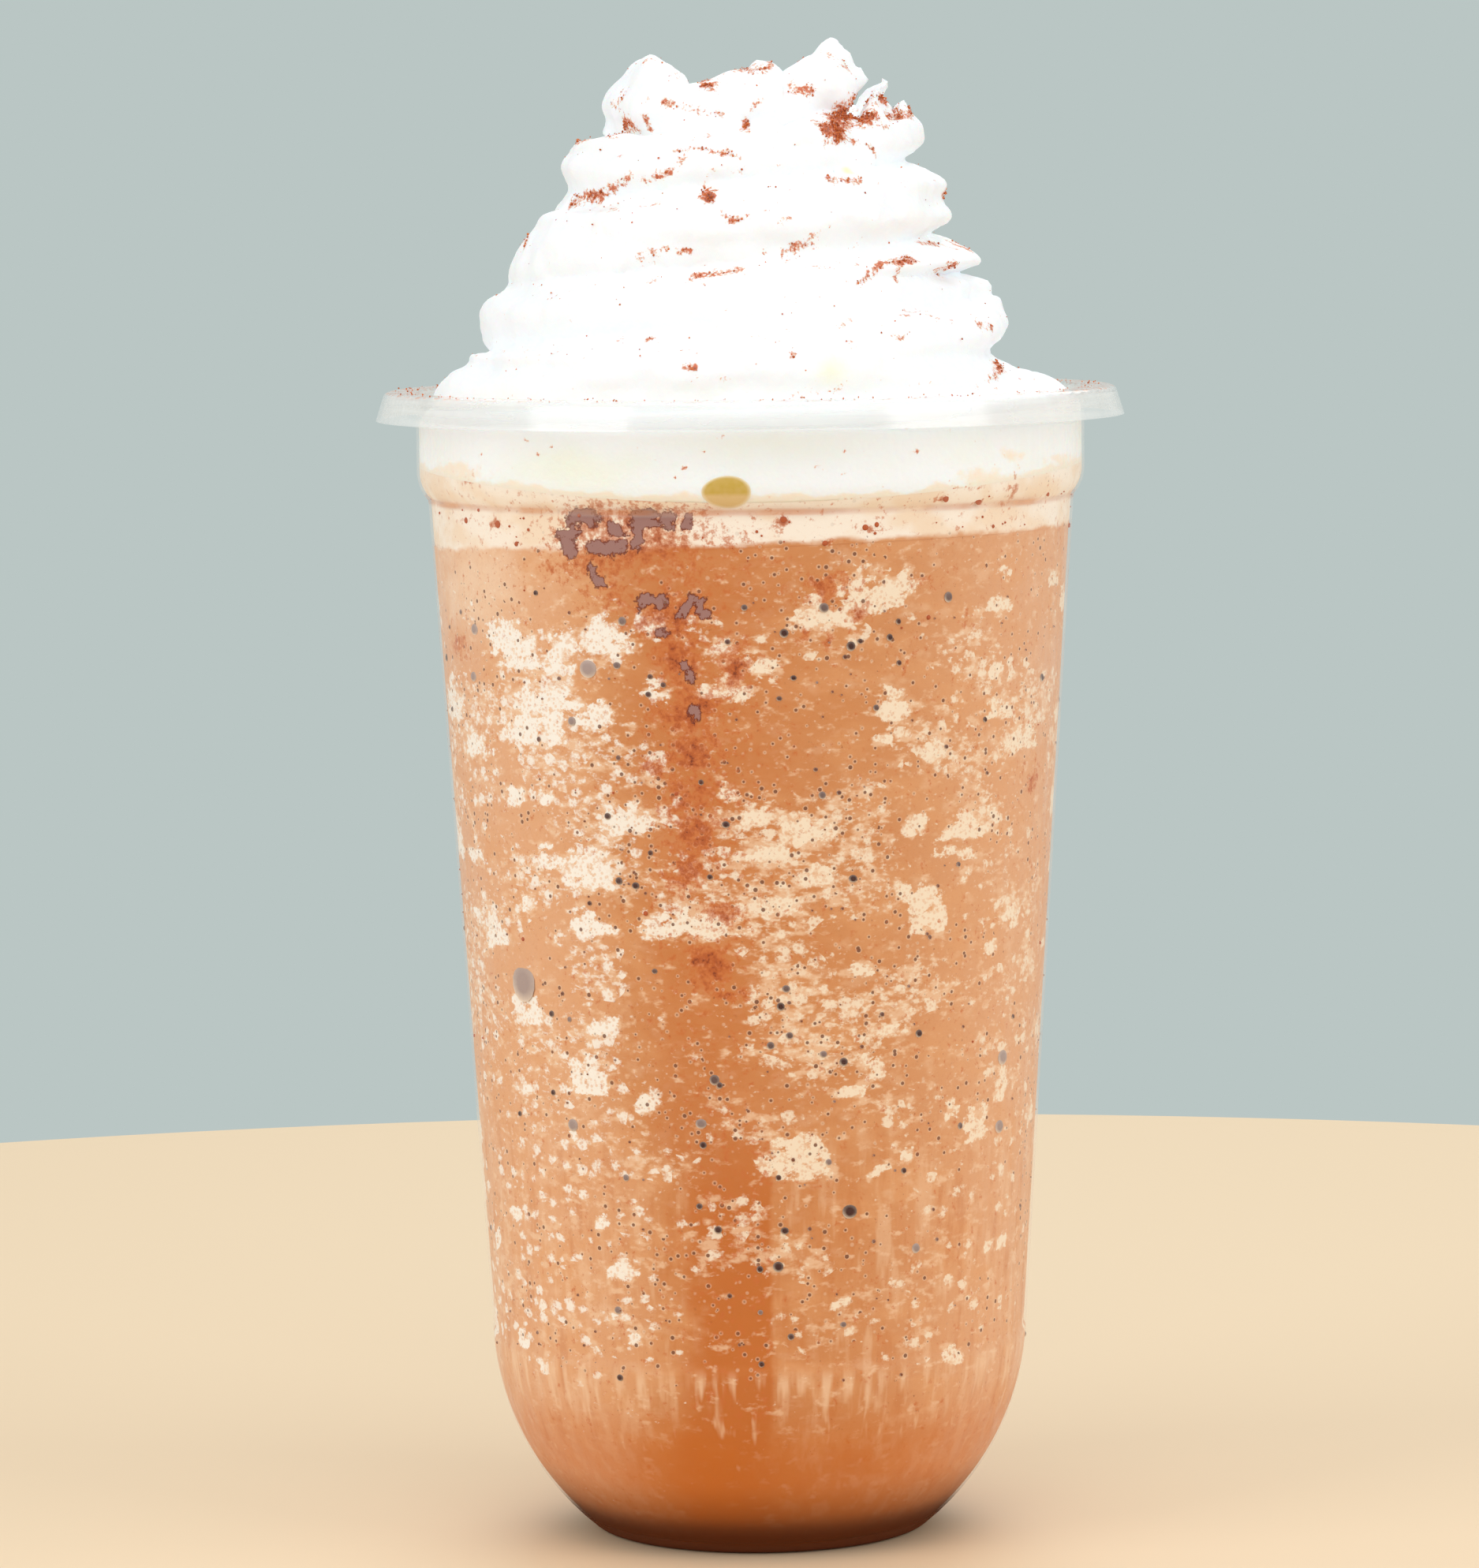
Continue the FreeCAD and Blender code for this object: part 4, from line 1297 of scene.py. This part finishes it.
def makeNeckCream(material):
    # what the cup's neck holds in, pressed against its wall
    rows = neckCream["rows"]
    profile = [(0, 0.0), (20, 0.0)] + [(40, i / rows) for i in range(rows + 1)] + [(20, 1.0), (0, 1.0)]
    mesh = spunMesh([(r, h * laidHeight) for r, h in profile], neckCream["columns"])
    top = cup["height"] - neckCream["topUnderRim"]
    for vert in mesh.verts:
        x, y, z = vert.co / mm
        bottom = foamEdge(math.atan2(y, x)) - 0.02
        height = bottom + (top - bottom) * z / laidHeight
        inward = neckCream["roundIn"] * max(0, (height - top + 3) / 3) ** 2
        atWall = math.hypot(x, y) > 39
        vert.co = placedAt(x, y, height, roomRadius(height, intoWall) - inward if atWall else None)
    piece = finishPiece("creamInNeck", mesh, material, None)
    points = readVerts(piece.data)
    dice = random.Random(cream["seed"])
    hollows = list(neckCream["hollows"])
    runs = list(neckCream["runs"])
    for _ in range(neckCream["hollowsBehind"]):
        place, height, wide = placeBehind(dice, 55), dice.uniform(137, 142), dice.uniform(6, 18)
        hollows.append((place, height, wide, 4.5, 0.7))
        runs.append((placeBehind(dice, 55), dice.uniform(135, 138), dice.uniform(6, 16), 3.5, 0.7))
    flat = points * np.array([1, 1, 1.6])
    arc = arcsOf(points) + 1.8 * grainField(flat, 5, 11.0, 2)
    height = points[:, 2] + 0.9 * grainField(flat, 5, 33.0, 2)
    # painted shade in the hollows, where the cream stands back from the wall
    hollow = smearField(arc, height, hollows)
    edge = np.array([foamEdge(math.atan2(y, x)) for x, y, z in points])
    milky = np.maximum(smearField(arc, height, runs), 0.9 * (1 - ease(height - edge, 0.0, 1.6)))
    away = np.full(len(points), 9.0)
    for at, middle in neckCream["specks"]:
        away = np.minimum(away, np.hypot(arcTo(arcsOf(points), at), points[:, 2] - middle))
    speck = np.maximum(np.clip(1.3 - away / 0.35, 0, 1), smearField(arc, points[:, 2], neckCream["stains"]))
    writeField(piece.data, "marks", speck, hollow, milky)
    return piece


def makeAirPocket():
    # an air pocket against the wall, with its shading painted: olive painted shade in its depth, paler
    # painted light below where light falls in
    pocket = {"arc": -2.8, "height": 134.85, "wide": 2.75, "tall": 2.0, "thick": 0.25,
              "deep": (204, 166, 40), "low": (226, 190, 124), "rim": (250, 240, 214)}
    mesh = bmesh.new()
    bmesh.ops.create_uvsphere(mesh, u_segments=48, v_segments=16, radius=1.0)
    paint = mesh.verts.layers.float_color.new("pocketShadeAndLight")
    deep, low, rim = (np.array(tone(*pocket[key])) for key in ("deep", "low", "rim"))
    bearing = pocket["arc"] / wallArc
    for vert in mesh.verts:
        across, up, depth = vert.co
        edge = math.hypot(across, up)
        share = min(1, max(0, (-up - 0.05) / 0.22))
        inside = deep + (low - deep) * share
        vert[paint] = inside + (rim - inside) * min(1, max(0, (edge - 0.88) / 0.1)) * 0.8
        height = pocket["height"] + up * pocket["tall"] * (1 + 0.08 * across)
        reach = roomRadius(height, intoWall - 0.02) + depth * pocket["thick"]
        turned = bearing + across * pocket["wide"] / wallArc
        vert.co = Vector((reach * math.sin(turned), -reach * math.cos(turned), height)) * mm
    bmesh.ops.recalc_face_normals(mesh, faces=mesh.faces)
    material = newMaterial("pocketSkin")
    # painted light mottled over the pocket's painted shade
    mottled = stepped(grain(objectPoint(), 0.9, 3), 0.3, 0.7, 0, 0.25)
    colour = mixed(mottled, painted("pocketShadeAndLight"), pocket["low"])
    close(principled(colour, 0.45))
    return finishPiece("airPocket", mesh, material, None)


def cocoaPowder():
    material = newMaterial("cocoaPowder")
    point = objectPoint()
    colour = mixed(stepped(grain(point, 0.5, 2), 0.35, 0.6), cocoa["grain"], cocoa["grainPale"])
    normal = bumped(grain(point, 0.08, 2), 0.05, 0.6)
    close(principled(colour, 0.9, Normal=normal, Specular_IOR_Level=0.2))
    return material


def makeCocoa(swirl, amount, material):
    # grains in clumps where the powder lies, a few loose ones, and some on the rim
    dice = random.Random(cocoa["seed"])
    chance = np.random.default_rng(cocoa["seed"])
    points = readVerts(swirl.data)
    normals = normalsOf(swirl.data)
    weight = np.clip(amount - 0.5, 0, 1) ** 2
    picked = chance.choice(len(points), cocoa["grains"], p=weight / weight.sum())
    openTop = np.nonzero((points[:, 2] > cup["height"] + 1) & (normals[:, 2] > 0.05))[0]
    loose = chance.choice(openTop, cocoa["loose"])
    spots = [(points[i], normals[i], 0.06 + 0.13 * dice.random() ** 2) for i in picked]
    spots += [(points[i], normals[i], 0.05 + 0.10 * dice.random() ** 2) for i in loose]
    for _ in range(cocoa["onRim"]):
        angle = dice.uniform(0, 2 * math.pi)
        radius = neckRadius + dice.uniform(0.2, cup["flangeWidth"] - 2.2)
        place = np.array((radius * math.cos(angle), radius * math.sin(angle), cup["height"]))
        spots.append((place, np.array((0, 0, 1.0)), 0.05 + 0.08 * dice.random()))
    template, ball = templateOf("grain", bmesh.ops.create_icosphere, subdivisions=1, radius=1.0)
    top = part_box("whipped_cream")[1].z / mm
    mesh = bmesh.new()
    for place, normal, size in spots:
        jitter = chance.uniform(0.65, 1.25, len(ball))[:, None]
        lying = place + normal * size * 0.35 + chance.normal(0, 0.12, 3)
        lying[2] = min(lying[2], top - size * 1.3)
        appendCopy(mesh, template, lying + ball * jitter * size)
    bpy.data.meshes.remove(template)
    return finishPiece("cocoaGrains", mesh, material, None, smooth=False)


creamWithPaintedLight = whippedCream()
swirl, powderAmount = makeSwirl(creamWithPaintedLight)
makeNeckCream(creamWithPaintedLight)
makeAirPocket()
makeCocoa(swirl, powderAmount, cocoaPowder())

print("done")
